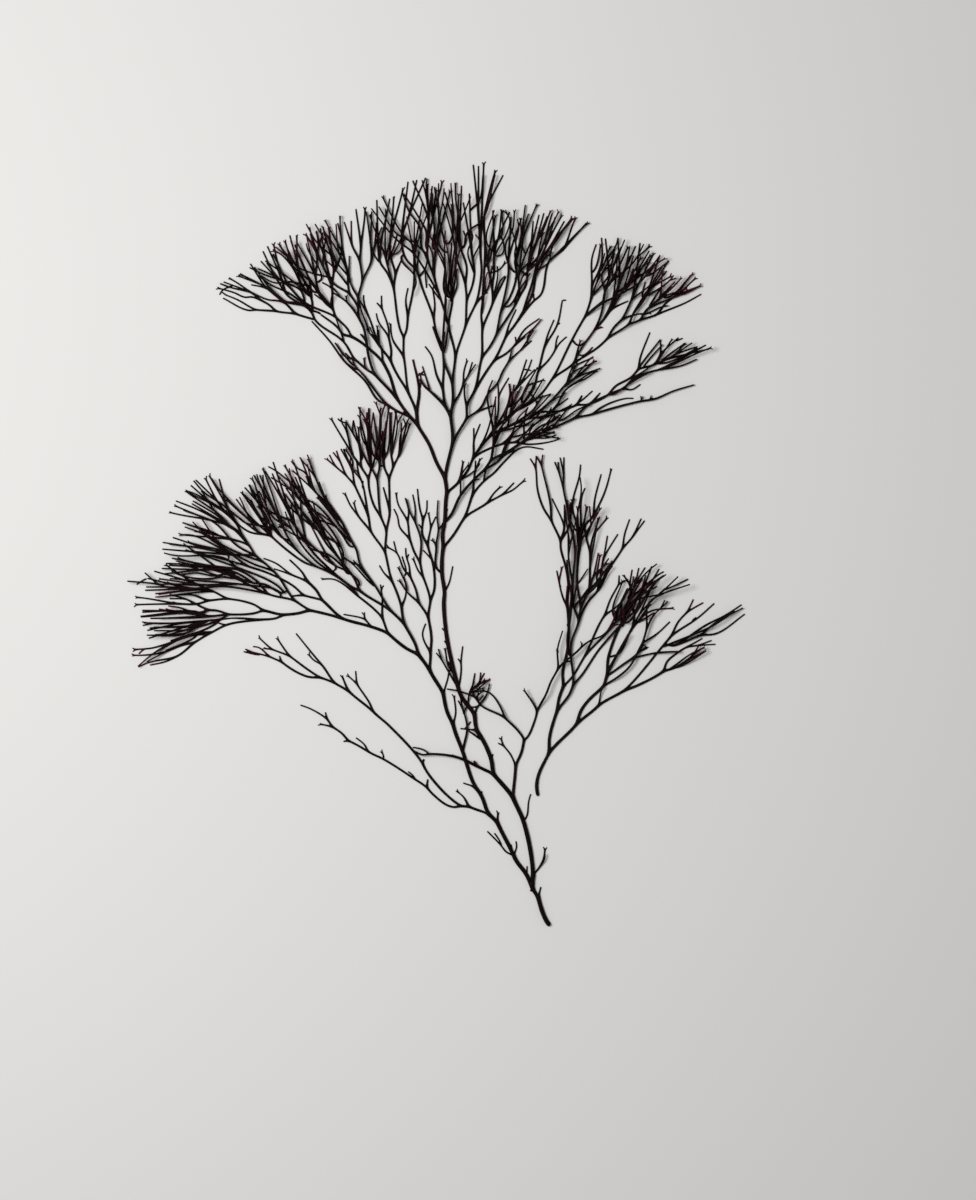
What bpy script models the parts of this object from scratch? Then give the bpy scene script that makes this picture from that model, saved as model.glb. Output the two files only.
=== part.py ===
"""A pressed seaweed lying flat: one forked plant, and the branch that broke off beside it.

The plan is in millimetres on the surface the plant lies on: the origin is the cut end of the trunk,
x runs to the right and y up to the crown. The solids are made from it in metres.
"""
import math
import random

import bmesh
import bpy
from mathutils import Matrix, Vector

MM = 0.001
SEED = 7

# Section of a branch: a flat underside, and a flat top if it is stout or a ridge if it is fine.
STOUT = 1.0
FINEST = 0.75
THICKNESS = 0.85
TOP_WIDTH = 0.55
FORK_SPREAD = 1.25
NECK = 1.6

# A branch climbs or sinks from its root to the lowest layer where it is clear of those laid before it.
CLIMB = 8.0
PITCH = 0.85
LAYERS = 6
GAP = 0.12
ROOT_ZONE = 6.0
STEEP = math.radians(60)
SINK = 0.3
ROOT_REACH = 3.0
LOWEST = {"over_branch": 3}

# Fans: tips on a shallow arc, forks in two all the way out.
ARC_RISE = 0.12
TIP_SCATTER = 1.2
TIP_SET_BACK = 8.0
SET_BACK_SHARE = 0.35
LAST_RUN = 1.6
TIPS_KEPT = 0.6
TIP_SPACING = 1.7
STRAIGHT = 0.35

FRONDS = {
"stems": [
    # trunk and the two stems it divides into
    (1.6, 1, [(0, 0), (-1.5, 2), (-3.2, 6), (-4.6, 11), (-6.8, 14.5)]),
    (1.5, 1, [(-6.8, 14.5), (-6.5, 19.5), (-8, 29), (-9.5, 37.5), (-10.2, 40), (-12, 44.5), (-14.3, 49.3), (-18, 54),
              (-21.8, 58.3), (-22.5, 63.5), (-24.5, 67.5), (-27, 72), (-28.2, 75), (-29, 81), (-31.5, 84.5), (-34, 87.8),
              (-35.2, 91), (-36.5, 96), (-38, 101.5), (-39, 107), (-39.9, 112.5), (-40.3, 118), (-40.8, 124),
              (-40.5, 128), (-41.5, 135), (-41, 145), (-41.3, 150), (-40.5, 154.5), (-40, 160), (-39.6, 166), (-40.3, 171.5)]),
    (1.4, 1, [(-6.8, 14.5), (-9, 19.5), (-12, 24), (-14, 27), (-17.5, 33.5), (-20.3, 39.7), (-23.7, 43), (-25.5, 47.5),
              (-26.4, 50), (-28.8, 53.3), (-31, 59), (-33.5, 66.7), (-35.3, 71.5), (-37.2, 77), (-39.5, 82), (-41, 89),
              (-43, 92.5), (-46.2, 98), (-50.5, 104)]),
    # short shoots low on the stems
    (1.1, 1, [(-6.8, 14.5), (-7.5, 13.2)]),
    (0.9, 1, [(-4.6, 11), (-3.5, 15)]),
    (0.7, 1, [(-6.5, 19.5), (-4.4, 22), (-2.6, 25.5), (-2, 29)]),
    (0.6, 1, [(-4.4, 22), (-1.9, 26), (-2, 28)]),
    (0.7, 1, [(-9, 19.5), (-8.8, 23)]),
    (0.7, 1, [(-14, 27), (-12.8, 30), (-13.1, 32.5)]),
    (0.7, 1, [(-14, 27), (-14.9, 30.5)]),
    (0.7, 1, [(-14, 27), (-16.8, 28.2), (-18.6, 30.6), (-21, 33.3), (-24.1, 36.3)]),
    (0.6, 1, [(-18.6, 30.6), (-19.2, 32.4), (-21.4, 35.6)]),
    (1.0, 1, [(-20.3, 39.7), (-20, 43)]),
    (0.8, 1, [(-26.4, 50), (-26.1, 51.7)]),
    (0.7, 1, [(-28.8, 53.3), (-33.4, 54.8)]),
    (0.6, 1, [(-10.2, 40), (-8.9, 42), (-8.8, 45), (-8.2, 48), (-7.4, 50.6)]),
    # right thin stem
    (1.1, 1, [(-14.3, 49.3), (-13.7, 54), (-13.2, 61.5), (-11, 66.5), (-10, 71.3)]),
    (0.6, 1, [(-13.2, 61.5), (-15, 65.5), (-17.8, 69), (-20, 70.1)]),
    (0.5, 1, [(-17.8, 69), (-18.7, 71.4)]),
    (0.8, 1, [(-10, 71.3), (-12, 74.5), (-17.5, 80), (-22, 82.5), (-27, 85), (-28.6, 87.6), (-31, 88.8), (-35.5, 90.2), (-39.7, 90.9)]),
    (0.7, 1, [(-17.5, 80), (-18.3, 82.5), (-20.5, 86), (-23.5, 89.6), (-26.5, 90.1), (-30.5, 89.3)]),
    (0.8, 1, [(-10, 71.3), (-8.8, 72.2), (-6.5, 77), (-5, 82.3)]),
    # left arm that crosses the left stem
    (1.1, 1, [(-21.8, 58.3), (-26, 60.3), (-29.3, 61.9), (-33, 63.8), (-37.5, 65.2), (-46.3, 66), (-49.3, 65.6), (-52.5, 67.4)]),
    (0.7, 1, [(-29.3, 61.9), (-29, 63.5)]),
    (0.7, 1, [(-46.3, 66), (-48.5, 67.6), (-52.7, 68.5)]),
    (0.8, 1, [(-22.5, 63.5), (-21.9, 66)]),
    (0.7, 1, [(-28.2, 75), (-31, 75.2), (-34.5, 75.7)]),
    (0.9, 1, [(-29, 81), (-28, 84), (-26, 86), (-24, 89.5), (-23.2, 93)]),
    # inner shoots of the left stem
    (0.9, 1, [(-33.5, 66.7), (-32.5, 71), (-31.8, 76.3), (-33.1, 80.3), (-33.5, 83), (-35.3, 86.5)]),
    (0.8, 1, [(-37.2, 77), (-36.2, 81.5), (-36.2, 85), (-36.8, 87.7)]),
    (0.5, 1, [(-41, 89), (-39.9, 91.5), (-39.2, 95), (-38.8, 97.5)]),
    # shoots where the stems lie close
    (0.8, 1, [(-35.2, 91), (-34.4, 95), (-34.2, 101), (-33.6, 104), (-33.5, 107.3)]),
    (0.5, 1, [(-34.2, 101), (-35.4, 102.5)]),
    (0.8, 1, [(-35.2, 91), (-37, 94), (-39.3, 98.5), (-41.5, 102), (-43.7, 104.8)]),
    (0.5, 1, [(-41.5, 102), (-42.9, 106.3)]),
    (0.8, 1, [(-36.5, 96), (-39, 99.5), (-39.7, 102), (-40.2, 105.7)]),
    (0.8, 1, [(-39.9, 112.5), (-41.5, 114.2)]),
    (0.6, 1, [(-39, 107), (-40.6, 109.4)]),
    (0.6, 5, [(-28.6, 87.6), (-30, 90.5), (-28.8, 97), (-23.5, 94.3)]),
    (0.6, 3, [(-31.5, 84.5), (-31.2, 89), (-29, 94), (-25, 91.5)]),
    (0.7, 1, [(-40.5, 128), (-38.9, 131), (-38.2, 134), (-37.3, 138)]),
],
"over_branch": [
    (0.8, 1, [(-5, 82.3), (-3, 85.5), (-1.5, 89), (0.2, 93.5), (3, 98.6), (5.5, 101.3), (9, 104.4), (12, 107),
              (16, 109.8), (19.5, 111), (22.5, 113.3), (24.3, 115.2), (26.5, 115.7)]),
    (0.5, 1, [(-5, 82.3), (-7, 85.8), (-9.7, 90)]),
    (0.8, 1, [(3, 98.6), (2.8, 106), (3.9, 109.5), (4.8, 113.3)]),
    (0.6, 1, [(5.5, 101.3), (8.6, 101.6)]),
    (0.5, 1, [(12, 107), (12.1, 108)]),
],
"lower_left": [
    (0.9, 1, [(-23.7, 43), (-27, 44.2), (-31, 45.7), (-34.3, 46), (-37.5, 48.8), (-41, 52), (-45, 56), (-49, 62.5), (-52.3, 66.3),
              (-55.3, 70), (-58.5, 73.2), (-62, 77), (-68, 82.3), (-72.5, 86), (-77.3, 90), (-82.7, 93.2), (-88.3, 95.3),
              (-92.5, 95.4), (-98, 98.2), (-103, 101.2), (-107.5, 103.2), (-112.3, 104.6), (-116.5, 105.5)]),
    (0.8, 1, [(-34.3, 46), (-37, 45.5), (-40, 46.5), (-43, 48.7), (-47.2, 53), (-51.8, 56.2), (-58, 60.5), (-64, 64), (-70, 67),
              (-77.3, 71), (-80, 74), (-83.3, 76.2), (-85.5, 79.3), (-88, 81), (-92, 83.3), (-95.8, 84.7)]),
    (0.6, 1, [(-31, 45.7), (-32.8, 48.2), (-33.2, 49.5), (-35.3, 51.3)]),
    (0.5, 1, [(-47.2, 53), (-46.9, 56.3)]),
    (0.6, 1, [(-51.8, 56.2), (-52.3, 57.4), (-54.5, 59.2)]),
    (0.5, 1, [(-64, 64), (-63.8, 65.2), (-64.4, 66.4)]),
    (0.6, 1, [(-70, 67), (-71, 69.3), (-74.5, 72.2)]),
    (0.6, 1, [(-77.3, 71), (-79.3, 70.7)]),
    (0.9, 1, [(-83.3, 76.2), (-87.7, 77.3)]),
    (0.5, 1, [(-85.5, 79.3), (-86.2, 82)]),
    (0.5, 1, [(-49, 62.5), (-48.3, 64)]),
    (0.7, 1, [(-68, 82.3), (-69, 85), (-71.5, 89), (-74, 92.6), (-77.3, 95.7)]),
    (0.5, 1, [(-74, 92.6), (-74.2, 95.3), (-74.6, 97.8)]),
    (0.7, 1, [(-77.3, 90), (-78.3, 92.8), (-79.6, 95.3)]),
    (0.7, 1, [(-82.7, 93.2), (-85, 97), (-88, 100.6), (-92, 105.3), (-95, 109.3), (-97.5, 112.2)]),
    (0.6, 1, [(-88, 100.6), (-90.3, 101.6), (-92.3, 103.7)]),
    (0.6, 1, [(-88.3, 95.3), (-91, 97.5), (-95, 100.2), (-99.8, 103.4), (-103, 104.8), (-106.5, 106), (-109.3, 106.4)]),
    (0.7, 1, [(-99.8, 103.4), (-102, 107), (-104.3, 109.7)]),
    (0.5, 1, [(-106.5, 106), (-108.7, 108.3), (-111.3, 110.2)]),
    (0.5, 1, [(-103, 101.2), (-103.8, 103.6)]),
    (0.6, 1, [(-107.5, 103.2), (-110, 105.5), (-112, 107), (-114, 107.1)]),
],
"left_fan": [
    (1.1, 1, [(-50.5, 104), (-55, 106.3), (-60, 110), (-62.3, 112.3), (-68.5, 114.7), (-74, 116.3), (-80, 118), (-86, 119.5),
              (-92, 121), (-97, 119.8), (-102.5, 119.3), (-106, 120.2), (-110, 121)]),
    (0.7, 1, [(-68.5, 114.7), (-71, 117.6), (-75, 118.7), (-79.3, 119.5)]),
    (0.5, 1, [(-71, 117.6), (-71.3, 119.2)]),
    (0.8, 1, [(-62.3, 112.3), (-63.3, 115), (-64.3, 118), (-67, 121), (-70, 123), (-73.5, 126.3), (-77, 128.5), (-80.2, 131), (-83, 133), (-86.8, 133)]),
    (0.7, 1, [(-64.3, 118), (-64.2, 122), (-64.4, 126), (-65.1, 131)]),
    (1.0, 1, [(-80, 118), (-83, 121), (-87.5, 125), (-89.5, 128.5), (-93, 132), (-95, 135.5), (-98, 138.5), (-100, 140.5)]),
    (0.7, 1, [(-87.5, 125), (-91, 125.8), (-94.5, 126.8), (-98, 130), (-103, 133), (-110, 136)]),
    (0.6, 1, [(-94.5, 126.8), (-99, 126.5)]),
    (0.7, 1, [(-93, 132), (-96, 133.3), (-99.5, 134.8), (-101.5, 136.7), (-105, 139), (-110, 141)]),
    (0.6, 1, [(-99.5, 134.8), (-103, 136), (-106, 137)]),
    (0.8, 1, [(-92, 121), (-95, 123), (-98, 124.8), (-100, 127.8), (-103, 132), (-106, 136), (-110, 139.5), (-113, 142),
              (-115.5, 146), (-118.5, 150.5), (-120, 154), (-122, 158), (-124, 161)]),
    (0.7, 1, [(-98, 124.8), (-103, 126.3), (-108, 127.2)]),
    (0.6, 2, [(-124, 161), (-130.5, 172.3), (-127, 171.5)]),
    (0.6, 6, [(-120, 154), (-124, 158), (-139.3, 166.5), (-132, 171.2)]),
    (0.6, 5, [(-118.5, 150.5), (-123, 153.5), (-145.5, 158.5), (-137.5, 162)]),
    (0.6, 5, [(-115.5, 146), (-121, 148), (-141.3, 150), (-141, 154.7)]),
    (0.6, 5, [(-113, 142), (-117, 142), (-122, 142.3), (-148.8, 144.5), (-144.8, 149)]),
    (0.6, 4, [(-108, 127.2), (-115, 131), (-124, 135), (-143.5, 140), (-140, 146)]),
    (0.6, 4, [(-110, 136), (-116, 138), (-135, 143), (-131, 150)]),
    # low arms of the fan
    (0.8, 1, [(-102.5, 119.3), (-105, 118), (-110, 117.5), (-115, 117.9), (-122, 118), (-126, 117.5)]),
    (0.8, 1, [(-110, 117.5), (-115, 116.7), (-124, 115.5), (-127, 114), (-131, 112), (-134, 110.5), (-136.3, 108.8),
              (-141, 107.7), (-148, 105), (-156, 103.8), (-159.5, 103.8)]),
    (0.7, 1, [(-136.3, 108.8), (-138.5, 106.5), (-142, 104), (-144, 103), (-150, 102), (-154, 101), (-158, 99.3)]),
    (0.5, 1, [(-144, 103), (-147, 101.5), (-153.5, 100)]),
    (0.7, 1, [(-131, 112), (-137, 111.5), (-141, 110), (-145, 108.8), (-153, 106.5), (-159, 106)]),
    (0.5, 1, [(-145, 108.8), (-152, 104.5), (-158, 99.5)]),
    (0.7, 1, [(-110, 121), (-113, 123), (-119, 124.8), (-123.8, 125.5), (-127, 127), (-129.7, 128.5)]),
    (0.6, 6, [(-129.7, 128.5), (-155, 130), (-147, 138.2)]),
    (0.6, 1, [(-123.8, 125.5), (-127.5, 125), (-131, 124.8), (-134.5, 126), (-137, 127)]),
    (0.6, 3, [(-131, 124.8), (-135, 123.5), (-142, 123.5), (-158.5, 123.2), (-158.3, 126)]),
    (0.7, 1, [(-110, 121), (-113, 120), (-123.5, 119.5), (-127, 120.8), (-131, 121.2), (-134.5, 122.8), (-140, 125.5), (-145, 126.8)]),
    (0.6, 4, [(-131, 121.2), (-134, 120.2), (-139, 120.7), (-157.2, 118.7), (-156.5, 121)]),
    (0.6, 5, [(-123.5, 119.5), (-126, 117.8), (-132, 117), (-154, 110.3), (-156, 116.2)]),
    (0.5, 2, [(-129.7, 128.5), (-145, 129.5), (-150, 131), (-162, 132.2), (-155.3, 135.5)]),
],
"left_fan_over": [
    (0.6, 5, [(-110, 139.5), (-117, 142), (-127, 147), (-140, 153), (-134, 157)]),
    (0.6, 6, [(-108, 127.2), (-116, 129), (-126, 130.3), (-150, 127), (-149, 133)]),
    (0.6, 6, [(-108, 127.2), (-112.5, 132.3), (-121, 137), (-148, 135), (-145, 141)]),
    (0.6, 4, [(-106, 136), (-113, 138.5), (-122, 143), (-138, 147), (-134, 151)]),
    (0.6, 4, [(-115.5, 146), (-120, 151), (-127, 157), (-137, 163), (-133, 166)]),
    (0.6, 4, [(-123.5, 119.5), (-130, 118.8), (-150, 121.5), (-150, 118)]),
    (0.6, 4, [(-126, 117.5), (-134, 115), (-151, 114.5), (-149, 111)]),
],
"left_fan_upper": [
    (1.0, 1, [(-50.5, 104), (-51.5, 107.5), (-53.5, 111.5), (-56, 115.8), (-59.5, 118.8), (-61.3, 121), (-65, 123), (-70, 126.5), (-73, 128.5)]),
    (0.7, 1, [(-61.3, 121), (-64, 125.5), (-66, 129), (-67.5, 131), (-70, 135), (-73.3, 139.8), (-74, 143.5), (-77, 149),
              (-80, 155), (-84, 161), (-87, 165), (-90, 172), (-92.5, 178.5)]),
    (0.5, 1, [(-67.5, 131), (-70, 133.5), (-73, 137.5), (-75.5, 140.3)]),
    (0.7, 1, [(-73, 128.5), (-75, 133), (-78, 136.5), (-81, 141), (-86, 149), (-91, 157)]),
    (0.7, 1, [(-73, 128.5), (-76, 130), (-82, 134.5), (-87, 140), (-93, 146)]),
    (0.7, 1, [(-73.5, 126.3), (-76, 129.5), (-80, 132.5), (-84.5, 135.5), (-90, 138), (-94, 141), (-97, 144), (-101, 150)]),
    (0.7, 1, [(-90, 138), (-93.5, 139), (-97.5, 141.5), (-103, 146.5), (-107, 149.5)]),
    (0.6, 3, [(-90, 172), (-96, 179.7), (-93, 180.7)]),
    (0.6, 5, [(-91, 157), (-101.5, 176), (-98.3, 177.7)]),
    (0.6, 5, [(-93, 146), (-98, 154), (-109.3, 174.5), (-106.3, 178)]),
    (0.6, 5, [(-101, 150), (-113.7, 173), (-110, 175)]),
    (0.6, 6, [(-107, 149.5), (-118.5, 166.3), (-113.5, 170.3)]),
    (0.6, 4, [(-107, 149.5), (-112, 151), (-127.5, 163), (-119, 164.5)]),
],
"left_upper_over": [
    (0.6, 6, [(-86, 149), (-91, 158), (-97, 165), (-107, 172), (-100, 175.5)]),
    (0.6, 6, [(-97, 144), (-103, 149.5), (-108, 158), (-115.5, 169), (-110, 173)]),
    (0.6, 5, [(-93, 146), (-95, 154), (-102, 166), (-96, 169)]),
    (0.6, 4, [(-80, 155), (-84, 159), (-92, 169), (-88.5, 170.3)]),
    (0.6, 4, [(-84, 161), (-90, 166.5), (-98, 174), (-93, 177)]),
    (0.6, 5, [(-81, 141), (-86, 147), (-96, 160), (-91, 163)]),
    (0.6, 5, [(-82, 134.5), (-89, 139.3), (-96, 147.5), (-104, 157), (-99, 161)]),
    (0.6, 4, [(-77, 149), (-81, 154), (-89, 164), (-86, 164.5)]),
],
"middle_fan": [
    (0.9, 1, [(-56, 115.8), (-56.5, 119), (-57, 122.3), (-58.3, 126.5), (-60.8, 132.5), (-62, 138), (-63.3, 143.3)]),
    (0.7, 1, [(-57, 122.3), (-55.5, 126), (-55.2, 129.5), (-56, 134)]),
    (0.6, 1, [(-60.8, 132.5), (-63.5, 135), (-65.5, 138.3)]),
    (0.8, 1, [(-63.3, 143.3), (-63, 148), (-62.8, 151.5), (-65, 157), (-67.5, 161), (-69.5, 168), (-69.7, 171.5), (-72.5, 176)]),
    (0.6, 4, [(-72.5, 176), (-76, 181), (-83.7, 194), (-78.5, 193)]),
    (0.6, 2, [(-72.5, 176), (-72.7, 181), (-75.5, 194), (-73.5, 190.7)]),
    (0.6, 4, [(-69.7, 171.5), (-68.7, 175.5), (-73, 195), (-69.5, 198.7)]),
    (0.7, 1, [(-65, 157), (-65.3, 162), (-66.3, 171.3), (-68.3, 175.3), (-69.3, 182)]),
    (0.6, 4, [(-66.3, 171.3), (-65.3, 176.5), (-70, 193.5), (-65, 198)]),
    (0.8, 1, [(-62.8, 151.5), (-61.5, 158.5), (-61.3, 165), (-61.8, 171.5), (-60.2, 176)]),
    (0.5, 1, [(-61.5, 158.5), (-63, 163), (-64, 168.3)]),
    (0.6, 3, [(-61.8, 171.5), (-63.8, 176.3), (-64.2, 190), (-62, 198)]),
    (0.6, 2, [(-60.2, 176), (-61, 181), (-61, 196), (-59.2, 196.5)]),
    (0.6, 4, [(-60.2, 176), (-57.8, 181), (-57, 193), (-54, 192)]),
    (0.8, 1, [(-63.3, 143.3), (-66, 147.5), (-68.8, 151.3), (-71, 153.5), (-73.8, 157.5), (-76.5, 161), (-78.5, 165.3)]),
    (0.5, 1, [(-73.8, 157.5), (-75.2, 162)]),
    (0.8, 1, [(-68.8, 151.3), (-69.7, 157), (-72, 162), (-75, 169), (-78.3, 172.8)]),
    (0.6, 2, [(-78.3, 172.8), (-82.3, 176.2), (-85.3, 178.7), (-84.7, 180.7)]),
    (0.6, 2, [(-78.3, 172.8), (-80.5, 178), (-83.3, 181.7), (-82, 182.3)]),
    (0.6, 2, [(-75, 169), (-76, 175), (-80.3, 183), (-79.3, 183)]),
    (0.7, 1, [(-69.7, 157), (-70.7, 163), (-72.2, 170.5), (-73.7, 174)]),
],
"inner_fan": [
    (0.9, 1, [(-46.2, 98), (-45.9, 105), (-45.5, 110), (-46.2, 115), (-46.8, 118.5), (-46.2, 122), (-45.9, 124.8), (-44.5, 128.5),
              (-44.3, 133), (-44.7, 137.5), (-46, 142), (-47, 146), (-49, 149.8), (-49.2, 153), (-48.8, 155.5), (-50, 160), (-50.9, 167.7)]),
    (0.6, 1, [(-45.9, 105), (-47.8, 108), (-49, 112), (-47.7, 116)]),
    (0.8, 1, [(-46.8, 118.5), (-50.3, 123.8), (-54.9, 128), (-57.5, 132)]),
    (0.7, 1, [(-50.3, 123.8), (-51.5, 129), (-53.7, 134), (-56, 136.5), (-57.3, 140), (-59, 143.3), (-62, 145)]),
    (0.6, 1, [(-53.7, 134), (-54, 138), (-55.2, 141.5), (-55.4, 145)]),
    (0.8, 1, [(-45.9, 124.8), (-47.5, 130), (-48.8, 134), (-49.9, 139.3), (-52, 143), (-53.8, 148.2), (-56, 150.8), (-57.8, 153),
              (-58.5, 157), (-60, 160)]),
    (0.6, 1, [(-48.8, 134), (-50.5, 136), (-52.3, 140.3)]),
    (0.7, 1, [(-53.8, 148.2), (-54.2, 153), (-54.6, 155), (-57, 159), (-58.5, 162.2), (-59, 165.5)]),
    (0.7, 1, [(-54.6, 155), (-54.2, 159), (-55, 162.5), (-55.6, 164.2)]),
    (0.7, 1, [(-49.9, 139.3), (-49.4, 143), (-49.5, 148), (-50.2, 150.5), (-51.8, 155), (-53.5, 158), (-55, 163.8)]),
    (0.7, 1, [(-51.8, 155), (-51.7, 160), (-52.7, 165.5)]),
    (0.7, 1, [(-48.8, 155.5), (-47.4, 159), (-47.2, 163.3)]),
    (0.7, 1, [(-47, 146), (-46.4, 150), (-45.8, 152.5), (-46.5, 155), (-46.6, 158)]),
    (0.7, 1, [(-45.8, 152.5), (-44.2, 155.7), (-43.8, 157)]),
    (0.8, 1, [(-41.5, 135), (-43.6, 137), (-43.8, 141), (-43.7, 146), (-43.2, 150), (-42.8, 152), (-43.3, 156), (-43, 163.3)]),
    (0.6, 1, [(-43.7, 146), (-45, 147.7)]),
    (0.6, 1, [(-42.8, 152), (-41.5, 153.5)]),
    (0.8, 1, [(-43.6, 137), (-45.5, 140.5), (-48.8, 144.2)]),
],
"crown_left": [
    (1.2, 1, [(-40.3, 171.5), (-43.5, 177.5), (-46.3, 184.5), (-50.8, 192), (-51.2, 197), (-50.3, 202), (-50.2, 205), (-51.5, 210), (-52.6, 217.3)]),
    (0.6, 1, [(-50.2, 205), (-49.5, 208.5), (-49.8, 212)]),
    (0.9, 1, [(-51.2, 197), (-53, 201), (-54.4, 204.5), (-56.5, 208), (-59, 212), (-61.2, 216.8), (-63.5, 219.5), (-65.5, 222.5), (-67.5, 225.3), (-70.5, 229)]),
    (0.8, 1, [(-61.2, 216.8), (-60.9, 220), (-61.5, 223.5), (-62, 226), (-64, 228.5), (-66, 232), (-66.7, 235)]),
    (0.6, 1, [(-62, 226), (-61.8, 227.8), (-63.5, 232.5), (-64.5, 236.7), (-66.5, 239)]),
    (0.5, 1, [(-64.5, 236.7), (-64.7, 241.8)]),
    (0.8, 1, [(-54.4, 204.5), (-54.9, 210), (-55.3, 214), (-56.2, 218.3), (-58.5, 221.5), (-60.5, 225), (-61.2, 230.3)]),
    (0.7, 1, [(-56.2, 218.3), (-56.2, 225.7), (-57.5, 228.5), (-58, 232), (-59.5, 240), (-60, 244.5), (-62.5, 250.5), (-65.5, 255)]),
    (0.6, 1, [(-60, 244.5), (-59.3, 250), (-61, 256)]),
    (0.5, 1, [(-59.3, 250), (-57, 255.5)]),
    (0.7, 1, [(-56.2, 225.7), (-55.2, 228), (-54.6, 233.5), (-55.4, 240), (-54.5, 244.7)]),
    (0.6, 1, [(-54.6, 233.5), (-53, 240), (-52.7, 243), (-52.2, 247)]),
    (1.1, 1, [(-50.8, 192), (-54, 195.5), (-58.8, 202.3), (-59.5, 205.5), (-61.5, 211), (-64.2, 216.3), (-67, 218.7), (-70, 221.3),
              (-73.5, 224.5), (-76.2, 226), (-79.8, 227), (-81, 229), (-85, 232), (-88, 234.5)]),
    (0.6, 1, [(-76.2, 226), (-77.5, 228.7), (-80.5, 232), (-82.3, 233.5)]),
    (0.6, 1, [(-64.2, 216.3), (-64.7, 221.5), (-66, 225), (-66.2, 229.5)]),
    (1.0, 1, [(-58.8, 202.3), (-62, 205.5), (-65, 208.8), (-67.3, 211.5), (-68.3, 215), (-69.8, 219.5), (-70.5, 224.5), (-71.2, 228.7),
              (-72.8, 231.5), (-73.5, 233.5), (-75.5, 236), (-78, 239.2), (-80.5, 241), (-83.3, 242.8)]),
    (0.8, 1, [(-67.3, 211.5), (-70, 213), (-73, 216), (-75, 217.3), (-77, 220.5), (-79, 223.8), (-82, 226), (-85, 228.5), (-90.3, 232.5)]),
    (0.6, 1, [(-79, 223.8), (-79.7, 227), (-81, 230), (-82.3, 233.5)]),
    (0.6, 1, [(-75, 217.3), (-78.2, 218), (-80.5, 220.8), (-82.6, 223.7)]),
    (0.9, 1, [(-54, 195.5), (-58, 197), (-62.8, 200), (-66, 204.5), (-69.6, 209.2), (-72, 211.7), (-74.7, 214.5), (-75.8, 217)]),
    (0.7, 1, [(-62.8, 200), (-66, 201.5), (-68.7, 205), (-70.8, 208.8), (-75, 213), (-77, 215), (-79.3, 217), (-82, 221.3),
              (-84.3, 224), (-88, 228), (-91.5, 232)]),
    (0.5, 1, [(-70, 213), (-71, 214.3), (-71.3, 217.2)]),
    (0.5, 1, [(-70.5, 224.5), (-72.8, 227)]),
    (0.7, 1, [(-65.5, 222.5), (-66.5, 225), (-68, 229), (-69.3, 233), (-71.5, 239.5), (-71.6, 242)]),
    (0.5, 1, [(-69.3, 233), (-71, 236), (-73, 240)]),
],
"crown_left_tips": [
    (0.7, 1, [(-82.3, 233.5), (-83.3, 236.5), (-83.2, 241), (-83.7, 245), (-83, 252)]),
    (0.6, 6, [(-83.7, 245), (-93.5, 264.8), (-88.2, 267.7)]),
    (0.6, 3, [(-83, 252), (-87, 267.5), (-84.8, 267)]),
    (0.6, 1, [(-83.3, 236.5), (-86, 238.5), (-88, 241.5), (-89.3, 245), (-90, 249)]),
    (0.6, 1, [(-82.3, 233.5), (-87, 236), (-90, 237.5), (-94, 239)]),
    (0.8, 1, [(-73.5, 233.5), (-73.5, 237), (-73.6, 241), (-72.8, 243.5), (-72, 247.3), (-72.6, 251.5), (-73, 255)]),
    (0.6, 3, [(-73, 255), (-76, 261), (-79, 270), (-76.3, 270.5)]),
    (0.6, 3, [(-73, 255), (-72.6, 260), (-74.5, 275), (-71, 274.7)]),
    (0.7, 6, [(-72, 247.3), (-70, 251), (-68.5, 255), (-70.5, 274), (-64.5, 268)]),
    (0.7, 1, [(-73.5, 237), (-75.5, 240.5), (-77, 242.5), (-77.7, 247.5), (-78, 252), (-79.2, 257)]),
    (0.6, 4, [(-79.2, 257), (-86, 270), (-80.5, 271.5)]),
    (0.6, 1, [(-77, 242.5), (-80, 244.5), (-83, 246.2)]),
    (0.6, 1, [(-73.6, 241), (-75.5, 244), (-76.8, 247.5), (-77, 257)]),
    (0.8, 1, [(-90.3, 232.5), (-94, 233.7), (-97.5, 234.7), (-101, 235.2), (-105, 235.7), (-109, 235.8), (-113, 236.3), (-115.5, 236),
              (-120, 238.2), (-125.5, 240.8)]),
    (0.6, 1, [(-113, 236.3), (-115.5, 238), (-120, 240.2), (-124.5, 242)]),
    (0.6, 1, [(-105, 235.7), (-107.5, 238), (-111, 240), (-114.5, 241.3), (-117, 241), (-121, 242.8), (-127, 244.5)]),
    (0.6, 2, [(-111, 240), (-114.3, 242.7), (-125.3, 247), (-122.7, 248.2)]),
    (0.7, 1, [(-97.5, 234.7), (-99.5, 237), (-102, 239), (-104, 239.7), (-108, 240), (-112, 241.7), (-114.8, 243)]),
    (0.6, 4, [(-102, 239), (-105, 241.5), (-107, 243.5), (-109, 244.8), (-118.3, 249.7), (-115, 254)]),
    (0.7, 1, [(-90.3, 232.5), (-91.3, 235), (-94, 237.7), (-98, 238.2), (-101.5, 239.3)]),
    (0.6, 6, [(-94, 237.7), (-96.5, 239.5), (-101, 242), (-111, 255), (-106, 261)]),
    (0.6, 7, [(-91.3, 235), (-91.5, 240.5), (-96, 247), (-103.7, 261), (-97.2, 264.2)]),
    (0.6, 4, [(-90, 249), (-97, 262), (-93.2, 264)]),
],
"crown_left_over": [
    (0.6, 6, [(-88, 241.5), (-92, 247), (-96, 251), (-103, 260), (-97, 262.5)]),
    (0.6, 5, [(-94, 239), (-100, 245), (-112, 252), (-106, 257)]),
    (0.6, 5, [(-90, 249), (-89.3, 256), (-92, 265.5), (-87, 266)]),
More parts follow.
